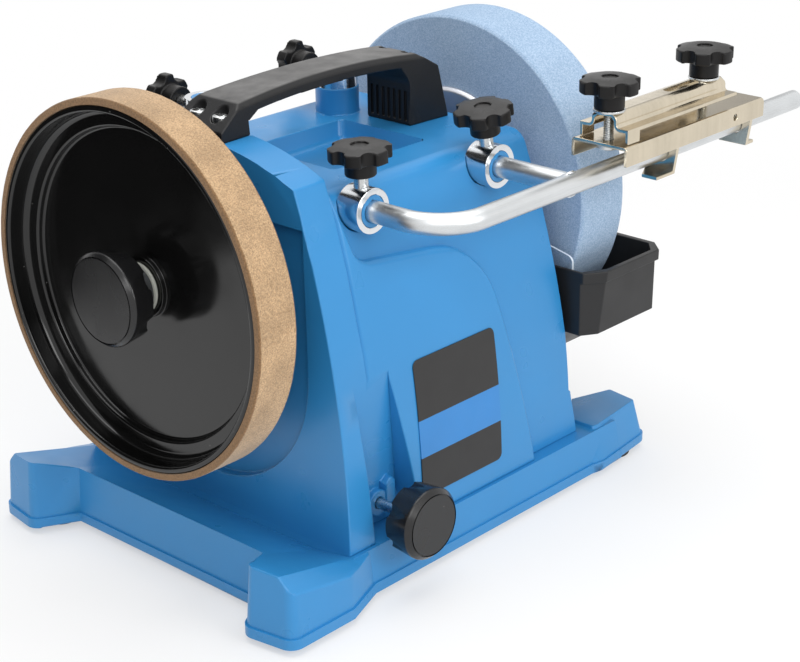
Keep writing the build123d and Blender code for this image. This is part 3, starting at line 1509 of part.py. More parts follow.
# Rocker switch in the back wall, with round pins that it tilts on
rim_face_y = pad_y + switch_rim_t
rocker_y = rim_face_y - rocker_pivot_depth
rocker_half_h = switch_h / 3
pocket_half_h = pocket_ease * rocker_half_h
pocket_depth = rocker_half_h + rocker_pivot_depth
with BuildPart() as switch_frame:
    with BuildSketch(Plane.XZ.offset(-rim_face_y)):
        with Locations((switch_x, switch_z)):
            RectangleRounded(switch_w + 2 * switch_rim, switch_h + 2 * switch_rim, switch_rim)
    extrude(amount=switch_rim_t)
    with BuildSketch(Plane.XZ.offset(-pad_y)):
        with Locations((switch_x, switch_z)):
            Rectangle(switch_w - slip_gap, switch_h - slip_gap)
    extrude(amount=switch_depth)
    with BuildSketch(Plane.XZ.offset(-rim_face_y)):
        with Locations((switch_x, switch_z)):
            Rectangle(rocker_w + 2 * slip_gap, 2 * pocket_half_h)
    extrude(amount=pocket_depth, mode=Mode.SUBTRACT)
    with BuildSketch(Plane.YZ.offset(switch_x - rocker_w / 2 - rocker_pin_len - slip_gap)):
        with Locations((rocker_y, switch_z)):
            Circle(rocker_pin_d / 2 + running_gap)
    extrude(amount=rocker_w + 2 * (rocker_pin_len + slip_gap), mode=Mode.SUBTRACT)
pieces["switch_frame"] = switch_frame.part
tilt = radians(rocker_swing / 2)
rocker_plane = Plane(
    (switch_x - rocker_w / 2, rocker_y, switch_z), x_dir=(0, cos(tilt), -sin(tilt)), z_dir=(1, 0, 0)
)
with BuildPart() as switch_rocker:
    with BuildSketch(rocker_plane):
        Polygon(
            (rocker_horn, rocker_half_h),
            (rocker_waist, 0),
            (rocker_horn, -rocker_half_h),
            (-rocker_back, -rocker_root_half_h),
            (-rocker_back, rocker_root_half_h),
            align=None,
        )
    extrude(amount=rocker_w)
    with BuildSketch(rocker_plane.offset(-rocker_pin_len)):
        Circle(rocker_pin_d / 2)
    extrude(amount=rocker_w + 2 * rocker_pin_len)
pieces["switch_rocker"] = switch_rocker.part

# Cable gland and motor capacitor
gland_tip = gland_nut_t + gland_tip_len
pieces["cable_gland"] = turned(
    (gland_x, pad_y, gland_z),
    (0, 1, 0),
    [
        (-gland_len, gland_bore / 2),
        (gland_tip, gland_bore / 2),
        (gland_tip, gland_tip_d / 2),
        (gland_nut_t, gland_d / 2),
        (gland_nut_t, gland_nut_d / 2),
        (0, gland_nut_d / 2),
        (0, gland_d / 2),
        (-gland_len, gland_d / 2),
    ],
)
pieces["capacitor"] = rod(
    (capacitor_x[0], capacitor_y, plate_top_z + capacitor_d / 2),
    (1, 0, 0),
    capacitor_x[1] - capacitor_x[0],
    capacitor_d,
    capacitor_edge,
)

# The finished assembly stands on Z = 0, centred on its box in X and Y
boxes = [piece.bounding_box() for piece in pieces.values()]
low_x = min(box.min.X for box in boxes)
high_x = max(box.max.X for box in boxes)
low_y = min(box.min.Y for box in boxes)
high_y = max(box.max.Y for box in boxes)
low_z = min(box.min.Z for box in boxes)
placing = Location((-(low_x + high_x) / 2, -(low_y + high_y) / 2, -low_z))

os.makedirs("parts", exist_ok=True)
for node_name, piece in pieces.items():
    placed = piece.moved(placing)
    placed.label = node_name
    export_step(placed, f"parts/{node_name}.step")
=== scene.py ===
"""Looks of a wet sharpening machine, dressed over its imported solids.

Every piece stands in the frame of the solids, in metres. A solid whose shape is right keeps its mesh and
gets a finish. A solid whose edges or details show is replaced by a fuller piece on the same body.
"""

import json
import logging
import math
from collections.abc import Callable, Iterable, Sequence
from dataclasses import dataclass, field
from enum import Enum

import bmesh
import bpy
from mathutils import Matrix, Vector, noise
from mathutils.bvhtree import BVHTree
from mathutils.kdtree import KDTree

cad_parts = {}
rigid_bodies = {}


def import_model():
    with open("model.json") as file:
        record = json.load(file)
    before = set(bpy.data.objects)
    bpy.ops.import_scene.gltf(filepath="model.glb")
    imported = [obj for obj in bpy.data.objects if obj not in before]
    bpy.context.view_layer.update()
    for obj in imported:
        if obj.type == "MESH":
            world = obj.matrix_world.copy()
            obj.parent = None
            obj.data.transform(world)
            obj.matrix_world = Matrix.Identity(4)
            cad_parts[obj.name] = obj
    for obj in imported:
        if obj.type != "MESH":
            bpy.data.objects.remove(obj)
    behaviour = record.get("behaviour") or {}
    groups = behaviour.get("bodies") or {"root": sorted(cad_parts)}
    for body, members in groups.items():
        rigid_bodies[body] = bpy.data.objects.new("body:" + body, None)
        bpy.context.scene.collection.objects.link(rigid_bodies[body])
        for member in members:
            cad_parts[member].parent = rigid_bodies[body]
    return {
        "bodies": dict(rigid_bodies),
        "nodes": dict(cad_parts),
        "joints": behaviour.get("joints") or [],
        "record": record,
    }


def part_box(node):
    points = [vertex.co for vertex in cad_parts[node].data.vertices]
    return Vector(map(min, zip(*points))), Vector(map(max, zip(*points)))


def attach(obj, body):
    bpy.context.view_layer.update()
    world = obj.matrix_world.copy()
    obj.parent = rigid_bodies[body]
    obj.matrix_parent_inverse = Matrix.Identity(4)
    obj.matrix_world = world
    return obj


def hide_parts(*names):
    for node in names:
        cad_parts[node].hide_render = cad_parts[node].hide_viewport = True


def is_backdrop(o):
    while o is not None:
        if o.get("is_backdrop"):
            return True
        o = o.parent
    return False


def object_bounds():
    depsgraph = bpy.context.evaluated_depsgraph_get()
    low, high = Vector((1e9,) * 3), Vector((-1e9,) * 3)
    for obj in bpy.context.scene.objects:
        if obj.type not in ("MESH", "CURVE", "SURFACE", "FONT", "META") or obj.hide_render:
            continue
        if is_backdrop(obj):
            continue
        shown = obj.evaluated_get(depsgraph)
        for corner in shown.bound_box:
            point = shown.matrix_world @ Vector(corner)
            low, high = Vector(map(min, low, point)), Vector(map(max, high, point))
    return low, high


log = logging.getLogger("sharpener")

Colour = tuple[float, float, float]
Shape = bmesh.types.BMesh
Edge = bmesh.types.BMEdge
Socket = bpy.types.NodeSocket
Tree = bpy.types.NodeTree

MM = 0.001
AXLE = Vector((0.0555, 0.01665, 0.171))
WHITE = (1.0, 1.0, 1.0, 1.0)

# How a solid is cleaned when it is copied: what is merged, what is a sliver and what is flat
MERGED_WITHIN = 0.002 * MM
SLIVER = 0.05 * MM
FLAT_WITHIN = math.radians(0.2)

# An edge that turns by more than this, in radians, is a corner
CORNER = 1.0

# How edges are rolled over: tries, a wide roll and a narrow one for what it left out (as shares of the
# width), how far from the old surface a corner may stray, and how much of a short edge the rolls may use
ROLL_TRIES = 6
ROLL_SHARES = (1.0, 0.4)
ROLL_STRAY = 0.6
ROLL_ROOM = 0.9

# A face of at least this area that points this far against the old surface has folded over
FOLD_AREA = 0.2 * MM**2
FOLD_TURN = -0.2


def at(x: float, y: float, z: float) -> Vector:
    """Turns millimetres from the axle at the stone's inner face (along, back, up) into the frame."""
    return AXLE + Vector((x, y, z)) * MM


def srgb(red: float, green: float, blue: float) -> Colour:
    """Turns a colour as a screen shows it, 0 to 255, into a linear one."""
    parts = [value / 255 for value in (red, green, blue)]
    red_l, green_l, blue_l = [v / 12.92 if v <= 0.04045 else ((v + 0.055) / 1.055) ** 2.4 for v in parts]
    return red_l, green_l, blue_l


class Axis(Enum):
    """Direction that a turned piece or a brushed grain runs in."""

    X = (1.0, 0.0, 0.0)
    Y = (0.0, 1.0, 0.0)
    Z = (0.0, 0.0, 1.0)


class Board:
    """A node tree with a short way to add nodes and join them."""

    def __init__(self, tree: Tree) -> None:
        """Keeps the tree that nodes are added to."""
        self.tree = tree

    def fill(self, node: bpy.types.Node, sockets: dict) -> bpy.types.Node:
        """Fills a node's inputs, by name or by place, with numbers, colours or outputs, and returns it."""
        for key, value in sockets.items():
            if isinstance(value, Socket):
                self.tree.links.new(value, node.inputs[key])
            else:
                node.inputs[key].default_value = value
        return node

    def add(self, kind: str, sockets: dict | None = None, **options: object) -> bpy.types.Node:
        """Adds a node of a kind, sets its own options, fills its inputs and returns it."""
        node = self.tree.nodes.new(kind)
        for name, value in options.items():
            setattr(node, name, value)
        return self.fill(node, sockets or {})

    def group(self, shared: Tree, sockets: dict) -> bpy.types.Node:
        """Places a shared group, fills its inputs and returns its node."""
        node = self.tree.nodes.new("ShaderNodeGroup")
        node.node_tree = shared
        return self.fill(node, sockets)

    def math(self, operation: str, first: object, second: object = 0.0) -> Socket:
        """Adds a sum of two numbers and returns its output."""
        return self.add("ShaderNodeMath", {0: first, 1: second}, operation=operation).outputs[0]

    def remap(self, value: Socket, start: Sequence, end: Sequence) -> Socket:
        """Maps the two ends of a range onto two others, held there, and returns the output."""
        sockets = {"Value": value, "From Min": start[0], "From Max": start[1]}
        sockets |= {"To Min": end[0], "To Max": end[1]}
        return self.add("ShaderNodeMapRange", sockets).outputs["Result"]

    def spread(self, value: Socket, low: object, high: object) -> Socket:
        """Maps a noise's middle range onto low to high and returns the output."""
        return self.remap(value, (0.3, 0.7), (low, high))

    def mix(self, share: object, first: object, second: object) -> Socket:
        """Blends two colours by a share and returns the output."""
        node = self.tree.nodes.new("ShaderNodeMix")
        node.data_type = "RGBA"
        return self.fill(node, {"Factor": share, 6: first, 7: second}).outputs[2]

    def place(self) -> Socket:
        """Adds the place on the object and returns its output."""
        return self.add("ShaderNodeTexCoord").outputs["Object"]

    def cloud(self, vector: Socket, scale: object, detail: float) -> Socket:
        """Adds a noise and returns its value."""
        sockets = {"Vector": vector, "Scale": scale, "Detail": detail}
        return self.add("ShaderNodeTexNoise", sockets).outputs["Fac"]

    def part(self, vector: Socket, axis: str) -> Socket:
        """Takes one axis of a place or direction and returns its output."""
        return self.add("ShaderNodeSeparateXYZ", {"Vector": vector}).outputs[axis]

    def lit(self, colour: object, value: Socket) -> Socket:
        """Multiplies a colour's brightness and returns the output."""
        return self.add("ShaderNodeHueSaturation", {"Color": colour, "Value": value}).outputs["Color"]

    def cell_red(self, cells: bpy.types.Node) -> Socket:
        """Returns a random number for each cell of a Voronoi texture."""
        return self.add("ShaderNodeSeparateColor", {"Color": cells.outputs["Color"]}).outputs["Red"]


FLOAT, COLOUR, VECTOR = "NodeSocketFloat", "NodeSocketColor", "NodeSocketVector"


class Effects:
    """Shared shader groups, each built once."""

    @staticmethod
    def _made(name: str, inputs: dict, outputs: dict, fill: Callable) -> Tree:
        """Builds a group on first use.

        Args:
            name: The group's name.
            inputs: Socket type of each input, by name.
            outputs: Socket type of each output, by name.
            fill: Adds the group's nodes, given its board and its inputs, and returns the outputs.

        Returns:
            The group's tree.
        """
        found = bpy.data.node_groups.get(name)
        if found is not None:
            return found
        tree = bpy.data.node_groups.new(name, "ShaderNodeTree")
        for socket, kind in inputs.items():
            tree.interface.new_socket(socket, in_out="INPUT", socket_type=kind)
        for socket, kind in outputs.items():
            tree.interface.new_socket(socket, in_out="OUTPUT", socket_type=kind)
        board = Board(tree)
        entry = board.add("NodeGroupInput")
        board.add("NodeGroupOutput", fill(board, entry.outputs))
        return tree

    @classmethod
    def mottle(cls) -> Tree:
        """Cloudy change of a colour's brightness."""

        def fill(board: Board, entry: bpy.types.NodeOutputs) -> dict:
            clouds = board.cloud(board.place(), entry["Scale"], 3.0)
            low = board.math("SUBTRACT", 1.0, entry["Change"])
            high = board.math("ADD", 1.0, entry["Change"])
            return {"Color": board.lit(entry["Color"], board.spread(clouds, low, high))}

        inputs = {"Color": COLOUR, "Change": FLOAT, "Scale": FLOAT}
        return cls._made("mottle", inputs, {"Color": COLOUR}, fill)

    @classmethod
    def grain(cls) -> Tree:
        """Fine moulded or cast grain: a height for bump and an uneven roughness."""

        def fill(board: Board, entry: bpy.types.NodeOutputs) -> dict:
            place = board.place()
            fine = board.cloud(place, entry["Scale"], 4.0)
            broad = board.cloud(place, board.math("MULTIPLY", entry["Scale"], 0.03), 2.0)
            return {"Height": fine, "Roughness": board.spread(broad, entry["Low"], entry["High"])}

        inputs = {"Scale": FLOAT, "Low": FLOAT, "High": FLOAT}
        return cls._made("grain", inputs, {"Height": FLOAT, "Roughness": FLOAT}, fill)

    @classmethod
    def brush(cls) -> Tree:
        """Fine lines drawn along one direction: a height, an uneven roughness and a streak mask."""

        def fill(board: Board, entry: bpy.types.NodeOutputs) -> dict:
            drawn = board.add("ShaderNodeMapping", {"Vector": board.place(), "Scale": entry["Stretch"]})
            lines = board.cloud(drawn.outputs["Vector"], 1.0, 5.0)
            rough = board.spread(lines, entry["Low"], entry["High"])
            return {"Height": lines, "Roughness": rough, "Streak": board.spread(lines, 0.0, 1.0)}

        inputs = {"Stretch": VECTOR, "Low": FLOAT, "High": FLOAT}
        return cls._made("brush", inputs, {"Height": FLOAT, "Roughness": FLOAT, "Streak": FLOAT}, fill)

    @classmethod
    def dust_and_sheen(cls) -> Tree:
        """A thin, patchy, paler film on what faces up, partly dirt and partly painted sheen, and sparse dirt
        specks everywhere, laid over a colour.
        """

        def fill(board: Board, entry: bpy.types.NodeOutputs) -> dict:
            place = board.place()
            up = board.part(board.add("ShaderNodeNewGeometry").outputs["Normal"], "Z")
            patchy = board.spread(board.cloud(place, 90.0, 6.0), 0.4, 1.0)
            facing = board.remap(up, (0.8, 1.0), (0.0, 1.0))
            # the paler film on upward faces stands partly for dirt and partly for painted sheen
            film = board.math("MULTIPLY", board.math("MULTIPLY", facing, patchy), entry["Film"])
            cells = board.add("ShaderNodeTexVoronoi", {"Vector": place, "Scale": 160.0})
            dot = board.remap(cells.outputs["Distance"], (0.04, 0.07), (1.0, 0.0))
            chosen = board.math("GREATER_THAN", board.cell_red(cells), 0.6)
            specks = board.math("MULTIPLY", board.math("MULTIPLY", dot, chosen), entry["Specks"])
            cover = board.math("MAXIMUM", film, specks)
            return {"Color": board.mix(cover, entry["Color"], (0.42, 0.41, 0.4, 1.0))}

        inputs = {"Color": COLOUR, "Film": FLOAT, "Specks": FLOAT}
        return cls._made("dust_and_sheen", inputs, {"Color": COLOUR}, fill)


@dataclass(frozen=True)
class Finish:
    """What all finishes share: a name, a colour and a mean roughness."""

    name: str
    colour: Colour
    roughness: float

    @property
    def rgba(self) -> tuple[float, float, float, float]:
        """The colour with full cover."""
        return (*self.colour, 1.0)

    def material(self) -> bpy.types.Material:
        """Returns the finish's material, made on first use."""
        found = bpy.data.materials.get(self.name)
        if found is not None:
            return found
        made = bpy.data.materials.new(self.name)
        made.use_nodes = True
        made.node_tree.nodes.clear()
        board = Board(made.node_tree)
        shader = board.add("ShaderNodeBsdfPrincipled", self.sockets(board))
        board.add("ShaderNodeOutputMaterial", {"Surface": shader.outputs["BSDF"]})
        return made

    def sockets(self, board: Board) -> dict:
        """Adds the finish's nodes and returns what goes into its shader."""
        raise NotImplementedError

    def range(self, uneven: float) -> dict:
        """Returns the ends of an uneven roughness."""
        return {"Low": self.roughness - uneven, "High": self.roughness + uneven}

    def bump(self, board: Board, depth: float, height: Socket) -> Socket:
        """Adds a bump of a depth in metres and returns its normal."""
        return board.add("ShaderNodeBump", {"Distance": depth, "Height": height}).outputs["Normal"]

    def clouded(self, board: Board, colour: object, change: float, scale: float) -> Socket:
        """Lays faint clouds over a colour and returns the output."""
        sockets = {"Color": colour, "Change": change, "Scale": scale}
        return board.group(Effects.mottle(), sockets).outputs["Color"]


@dataclass(frozen=True)
class Moulded(Finish):
    """Moulded plastic or rubber with a fine grain, faint clouds, dirt specks and a paler film on its tops
    that is partly dirt and partly painted sheen.
    """

    change: float = 0.03
    grain_scale: float = 1500.0
    grain_depth: float = 0.00004
    uneven: float = 0.06
    # film: how strongly upward faces are painted paler, partly as dirt and partly as painted sheen
    film: float = 0.0
    specks: float = 0.0
    gloss: float = 0.5

    def sockets(self, board: Board) -> dict:
        """Adds the plastic's nodes and returns what goes into its shader."""
        colour = self.clouded(board, self.rgba, self.change, 22.0)
        if self.film > 0 or self.specks > 0:
            laid = {"Color": colour, "Film": self.film, "Specks": self.specks}
            colour = board.group(Effects.dust_and_sheen(), laid).outputs["Color"]
        grain = board.group(Effects.grain(), {"Scale": self.grain_scale, **self.range(self.uneven)}).outputs
        return {
            "Base Color": colour,
            "Roughness": grain["Roughness"],
            "Specular IOR Level": self.gloss,
            "Normal": self.bump(board, self.grain_depth, grain["Height"]),
        }


@dataclass(frozen=True)
class Plated(Finish):
    """Bare, ground or plated metal with lines drawn one way, and stains along them."""

    along: Axis = Axis.X
    fine: float = 2600.0
    long: float = 60.0
    uneven: float = 0.08
    change: float = 0.06
    line_depth: float = 0.00001
    stain: Colour = (0.3, 0.25, 0.18)
    stain_share: float = 0.0

    def sockets(self, board: Board) -> dict:
        """Adds the metal's nodes and returns what goes into its shader."""
        colour = self.clouded(board, self.rgba, self.change, 45.0)
        stretch = tuple(self.long if way else self.fine for way in self.along.value)
        lines = board.group(Effects.brush(), {"Stretch": stretch, **self.range(self.uneven)}).outputs
        if self.stain_share > 0:
            share = board.math("MULTIPLY", lines["Streak"], self.stain_share)
            colour = board.mix(share, colour, (*self.stain, 1.0))
        return {
            "Base Color": colour,
            "Metallic": 1.0,
            "Roughness": lines["Roughness"],
            "Normal": self.bump(board, self.line_depth, lines["Height"]),
        }


@dataclass(frozen=True)
class BondedStone(Finish):
    """Bonded abrasive: pale and dark grains packed in a tinted bond."""

    pale: Colour = srgb(206, 222, 240)
    dark: Colour = srgb(96, 124, 166)
    grit_scale: float = 1900.0
    grit_share: float = 0.35
    pit_depth: float = 0.00018

    def sockets(self, board: Board) -> dict:
        """Adds the stone's nodes and returns what goes into its shader."""
        bond = self.clouded(board, self.rgba, 0.04, 30.0)
        place = board.place()
        grit = board.cloud(place, self.grit_scale, 3.0)
        cells = board.add("ShaderNodeTexVoronoi", {"Vector": place, "Scale": self.grit_scale})
        ramp = board.add("ShaderNodeValToRGB", {"Fac": board.cell_red(cells)})
        ramp.color_ramp.elements[0].color = (*self.dark, 1.0)
        ramp.color_ramp.elements[1].color = (*self.pale, 1.0)
        ramp.color_ramp.elements.new(0.5).color = self.rgba
        return {
            "Base Color": board.mix(self.grit_share, bond, ramp.outputs["Color"]),
            "Roughness": board.spread(grit, self.roughness - 0.1, self.roughness + 0.1),
            "Specular IOR Level": 0.25,
            "Normal": self.bump(board, self.pit_depth, grit),
        }


@dataclass(frozen=True)
class Suede(Finish):
    """Raw split leather: a fine nap, rubbed patches and dark, ragged cut edges."""

    cut_at: tuple[float, float]
    fibre: Colour = srgb(150, 114, 78)
    cut: Colour = srgb(122, 92, 62)
    cut_reach: float = 0.0011
    cut_share: float = 0.85
    rubbed: float = 0.16
    fibre_share: float = 0.6
    nap_scale: float = 1150.0
    nap_depth: float = 0.00035
    nap_shade: tuple[float, float] = (0.68, 1.3)
    sheen: float = 0.2

    def sockets(self, board: Board) -> dict:
        """Adds the leather's nodes and returns what goes into its shader."""
        place = board.place()
        hide = self.clouded(board, self.rgba, self.rubbed, 60.0)
        nap = board.cloud(place, self.nap_scale, 3.0)
        tufts = board.cloud(place, 1.6 * self.nap_scale, 2.0)
        share = board.remap(tufts, (0.46, 0.72), (0.0, self.fibre_share))
        napped = board.mix(share, hide, (*self.fibre, 1.0))
        across = board.part(place, "X")
        from_front = board.math("SUBTRACT", across, self.cut_at[0])
        from_back = board.math("SUBTRACT", self.cut_at[1], across)
        nearest = board.math("MINIMUM", from_front, from_back)
        ragged = board.math("MULTIPLY", board.cloud(place, 520.0, 4.0), self.cut_reach)
        depth = board.math("SUBTRACT", nearest, ragged)
        edge = board.remap(depth, (0.0, 0.6 * self.cut_reach), (self.cut_share, 0.0))
        cut = board.mix(edge, napped, (*self.cut, 1.0))
        return {
            "Base Color": board.lit(cut, board.spread(nap, *self.nap_shade)),
            "Roughness": board.spread(nap, self.roughness - 0.06, self.roughness + 0.06),
            "Sheen Weight": self.sheen,
            "Sheen Roughness": 0.5,
            "Specular IOR Level": 0.2,
            "Normal": self.bump(board, self.nap_depth, nap),
        }


@dataclass(frozen=True)
class ClearSheet(Finish):
    """Clear plastic sheet, faintly scuffed."""

    def sockets(self, board: Board) -> dict:
        """Adds the sheet's nodes and returns what goes into its shader."""
        sockets = {"Scale": 700.0, "Low": self.roughness, "High": 3 * self.roughness}
        grain = board.group(Effects.grain(), sockets)
        return {
            "Base Color": self.rgba,
            "Roughness": grain.outputs["Roughness"],
            "IOR": 1.2,
            "Transmission Weight": 1.0,
        }


@dataclass(frozen=True)
class Banded(Finish):
    """Printed film with one plain band of another colour across it, between two heights."""

    band: Colour = srgb(48, 128, 196)
    band_from: float = 0.0667
    band_to: float = 0.0886

    def sockets(self, board: Board) -> dict:
        """Adds the film's nodes and returns what goes into its shader."""
        height = board.part(board.place(), "Z")
        above = board.math("GREATER_THAN", height, self.band_from)
        below = board.math("LESS_THAN", height, self.band_to)
        printed = board.mix(board.math("MULTIPLY", above, below), self.rgba, (*self.band, 1.0))
        grain = board.group(Effects.grain(), {"Scale": 2200.0, **self.range(0.05)}).outputs
        return {
            "Base Color": self.clouded(board, printed, 0.03, 40.0),
            "Roughness": grain["Roughness"],
            "Normal": self.bump(board, 0.00001, grain["Height"]),
        }


@dataclass(frozen=True)
class Layered(Finish):
    """Stacked sheets or wound wire: fine dark lines across one direction."""

    across: Axis = Axis.X
    pitch: float = 0.0008

    def sockets(self, board: Board) -> dict:
        """Adds the stack's nodes and returns what goes into its shader."""
        turns = board.math("DIVIDE", board.part(board.place(), self.across.name), self.pitch)
        wave = board.math("ABSOLUTE", board.math("SUBTRACT", board.math("FRACT", turns), 0.5))
        line = board.remap(wave, (0.3, 0.5), (1.0, 0.35))
        grain = board.group(Effects.grain(), {"Scale": 500.0, **self.range(0.08)})
        return {
            "Base Color": board.lit(self.rgba, line),
            "Metallic": 1.0,
            "Roughness": grain.outputs["Roughness"],
            "Normal": self.bump(board, 0.0003, line),
        }


SHELL_BLUE = Moulded("shell_blue", srgb(47, 134, 194), 0.33, change=0.02, grain_depth=0.00003)
GLOSS_BLACK = Moulded("gloss_black", srgb(14, 14, 14), 0.15, uneven=0.04, grain_depth=0.000003, specks=0.35)
# the handle's strong film paints its top paler: painted sheen, with a little dirt
HANDLE_BLACK = Moulded(
    "handle_black", srgb(24, 24, 25), 0.46, grain_scale=1100.0, grain_depth=0.0001, film=0.3, gloss=0.3
)
TANK_BLACK = Moulded("tank_black", srgb(30, 30, 31), 0.45, grain_depth=0.00005, film=0.03, gloss=0.4)
KNOB_BLACK = Moulded("knob_black", srgb(18, 17, 17), 0.4, grain_depth=0.00004, film=0.09, gloss=0.25)
GRIP_BLACK = Moulded("grip_black", srgb(22, 22, 23), 0.26, grain_depth=0.00001, specks=0.2)
RUBBER = Moulded("rubber", srgb(34, 34, 34), 0.8, grain_depth=0.00008)
STONE = BondedStone("blue_stone", srgb(156, 180, 205), 0.85)
BRIGHT_ZINC = Plated("bright_zinc", srgb(206, 208, 208), 0.3, fine=1800.0)
SATIN_ZINC = Plated("satin_zinc", srgb(214, 217, 219), 0.36, uneven=0.06, fine=1500.0, stain_share=0.12)
CHROME = Plated("chrome", srgb(222, 225, 228), 0.16, uneven=0.05, change=0.02, line_depth=0.000002)
NICKEL = Plated(
    "warm_nickel",
    srgb(216, 205, 184),
    0.18,
    along=Axis.Z,
    fine=260.0,
    long=16.0,
    uneven=0.05,
    line_depth=0.000002,
    stain_share=0.14,
)
CAST_ZINC = Moulded("cast_zinc", srgb(198, 199, 190), 0.35, change=0.06, grain_depth=0.00002)
# a dark copy of the washer's metal: painted shade on its cone
WASHER_CONE_SHADE = Plated("washer_cone_painted_shade", srgb(96, 98, 100), 0.5, uneven=0.1)
ZINC_SHEET = Plated("zinc_sheet", srgb(196, 196, 206), 0.4)
GROUND_STEEL = Plated("ground_steel", srgb(150, 152, 156), 0.34)
CAST_ALLOY = Plated("cast_alloy", srgb(190, 192, 195), 0.5, fine=900.0, long=900.0)
BRONZE = Plated("bronze", srgb(190, 160, 100), 0.4)
COPPER = Layered("copper_wire", srgb(184, 110, 60), 0.35, pitch=0.0009)
LAMINATIONS = Layered("laminations", srgb(140, 142, 146), 0.45, pitch=0.0006)
CLEAR = ClearSheet("clear_sheet", (0.96, 0.98, 1.0), 0.03)
# the clear sheet's cut edges are painted pale: a painted highlight for the light they catch
SHEET_EDGE_HIGHLIGHT = Moulded("sheet_edge_painted_highlight", srgb(214, 226, 236), 0.35, grain_depth=0.00002)
LABEL_FILM = Banded("label_film", srgb(27, 26, 26), 0.45)


class Workshop:
    """Holds the loaded frame and makes, finishes and attaches pieces to their bodies."""

    def __init__(self) -> None:
        """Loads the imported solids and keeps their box."""
        self.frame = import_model()
        self.cad_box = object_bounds()
        self.body_of = {
            node: body
            for body, nodes in self.frame["record"]["behaviour"]["bodies"].items()
            for node in nodes
        }
        self.slot_of = {part["node"]: part["material_slot"] for part in self.frame["record"]["subparts"]}

    def finish_node(self, node: str, finish: Finish) -> None:
        """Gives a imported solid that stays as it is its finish."""
        slots = self.frame["nodes"][node].data.materials
        slots.clear()
        slots.append(finish.material())
        log.info("%s keeps its mesh, in %s", node, finish.name)

    def keep(
        self,
        shape: Shape,
        name: str,
        finishes: Sequence[Finish],
        replaces: str | None = None,
        beside: str | None = None,
    ) -> None:
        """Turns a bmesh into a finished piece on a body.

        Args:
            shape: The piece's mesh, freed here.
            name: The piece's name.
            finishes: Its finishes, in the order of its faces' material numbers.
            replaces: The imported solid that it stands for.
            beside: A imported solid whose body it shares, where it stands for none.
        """
        mesh = bpy.data.meshes.new(name)
        shape.to_mesh(mesh)
        shape.free()
        for finish in finishes:
            mesh.materials.append(finish.material())
        piece = bpy.data.objects.new(name, mesh)
        bpy.context.scene.collection.objects.link(piece)
        even = piece.modifiers.new("even_normals", "WEIGHTED_NORMAL")
        even.keep_sharp = True
        node = replaces or beside
        body = self.body_of[node]
        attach(piece, body)
        if replaces:
            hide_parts(replaces)
        log.info("%s rides on %s, in %s, with %d faces", name, body, finishes[0].name, len(mesh.polygons))

    def copied(self, node: str) -> Shape:
        """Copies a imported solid, with its loose triangles merged and its flat faces made whole."""
        shape = bmesh.new()
        shape.from_mesh(self.frame["nodes"][node].data)
        bmesh.ops.remove_doubles(shape, verts=shape.verts, dist=MERGED_WITHIN)
        bmesh.ops.dissolve_degenerate(shape, dist=SLIVER, edges=shape.edges)
        bmesh.ops.dissolve_limit(shape, angle_limit=FLAT_WITHIN, verts=shape.verts, edges=shape.edges)
        return shape

    def softened(self, node: str, finish: Finish, roll: float, segments: int = 2) -> None:
        """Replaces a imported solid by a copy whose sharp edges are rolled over.

        Args:
            node: The solid's name.
            finish: The copy's finish.
            roll: How far back from an edge the roll starts, in millimetres.
            segments: Facets across a roll.
        """
        shape = rolled(self.copied(node), roll, segments)
        self.keep(shape, f"{node}_piece", (finish,), replaces=node)


def shade(shape: Shape, crease: float = 62.0) -> None:
    """Shades a shape smooth, apart from edges that turn by more than the crease, in degrees."""
    for face in shape.faces:
        face.smooth = True
    for edge in shape.edges:
        edge.smooth = not edge.is_manifold or edge.calc_face_angle() < math.radians(crease)


def rolled(shape: Shape, roll: float, segments: int = 2, sharp: float = 30.0) -> Shape:
    """Bevels the sharp edges of a shape, leaving out those whose bevel would fold over.

    Args:
        shape: The shape to start from, freed here.
        roll: Bevel width in millimetres.
        segments: Facets across the bevel.
        sharp: Edges that turn by more than this are bevelled, in degrees.

    Returns:
        The bevelled shape.
    """
    surface = BVHTree.FromBMesh(shape)
    low, high = span(shape.verts)
    limit = math.radians(sharp)
    spoilt: list[Vector] = []
    for attempt in range(ROLL_TRIES):
        trial = shape.copy()
        tree = tree_of(spoilt)
        for share in ROLL_SHARES:
            edges = [
                edge
                for edge in trial.edges
                if edge.is_manifold
                and edge.calc_face_angle() > limit
                and not touches(edge, tree, 2 * roll * MM)
            ]
            bevel(trial, fitting(trial, edges, share * roll), share * roll, segments)
        for vert in trial.verts:
            nearest, _, _, away = surface.find_nearest(vert.co)
            if away > ROLL_STRAY * roll * MM:
                vert.co = nearest
            vert.co = [min(max(here, least), most) for here, least, most in zip(vert.co, low, high)]
        bmesh.ops.triangulate(trial, faces=[face for face in trial.faces if len(face.verts) > 4])
        folded = turned_over(trial, surface)
        if not folded:
            break
        spoilt += folded
        log.info("attempt %d leaves %d folded corners", attempt, len(folded))
        if attempt < ROLL_TRIES - 1:
            trial.free()
    shape.free()
    shade(trial)
    return trial


def touches(edge: Edge, places: KDTree, reach: float) -> bool:
    """Tells whether an edge comes within reach of any of some places."""
    start, stop = (vert.co for vert in edge.verts)
    steps = math.ceil((stop - start).length / reach)
    along = (start.lerp(stop, step / steps) for step in range(steps + 1))
    return any(away is not None and away < reach for _, _, away in map(places.find, along))


def tree_of(places: Sequence[Vector]) -> KDTree:
    """Sorts some places for a quick search."""
    tree = KDTree(len(places))
    for number, place in enumerate(places):
        tree.insert(place, number)
    tree.balance()
    return tree


def turned_over(shape: Shape, surface: BVHTree) -> list[Vector]:
    """Finds the corners, each once, of faces that point against the surface that they came from."""
    places = {}
    for face in shape.faces:
        face.normal_update()
        _, normal, _, _ = surface.find_nearest(face.calc_center_median())
        if face.calc_area() > FOLD_AREA and face.normal.dot(normal) < FOLD_TURN:
            for vert in face.verts:
                places[tuple(round(value, 3) for value in vert.co)] = vert.co.copy()
    return list(places.values())


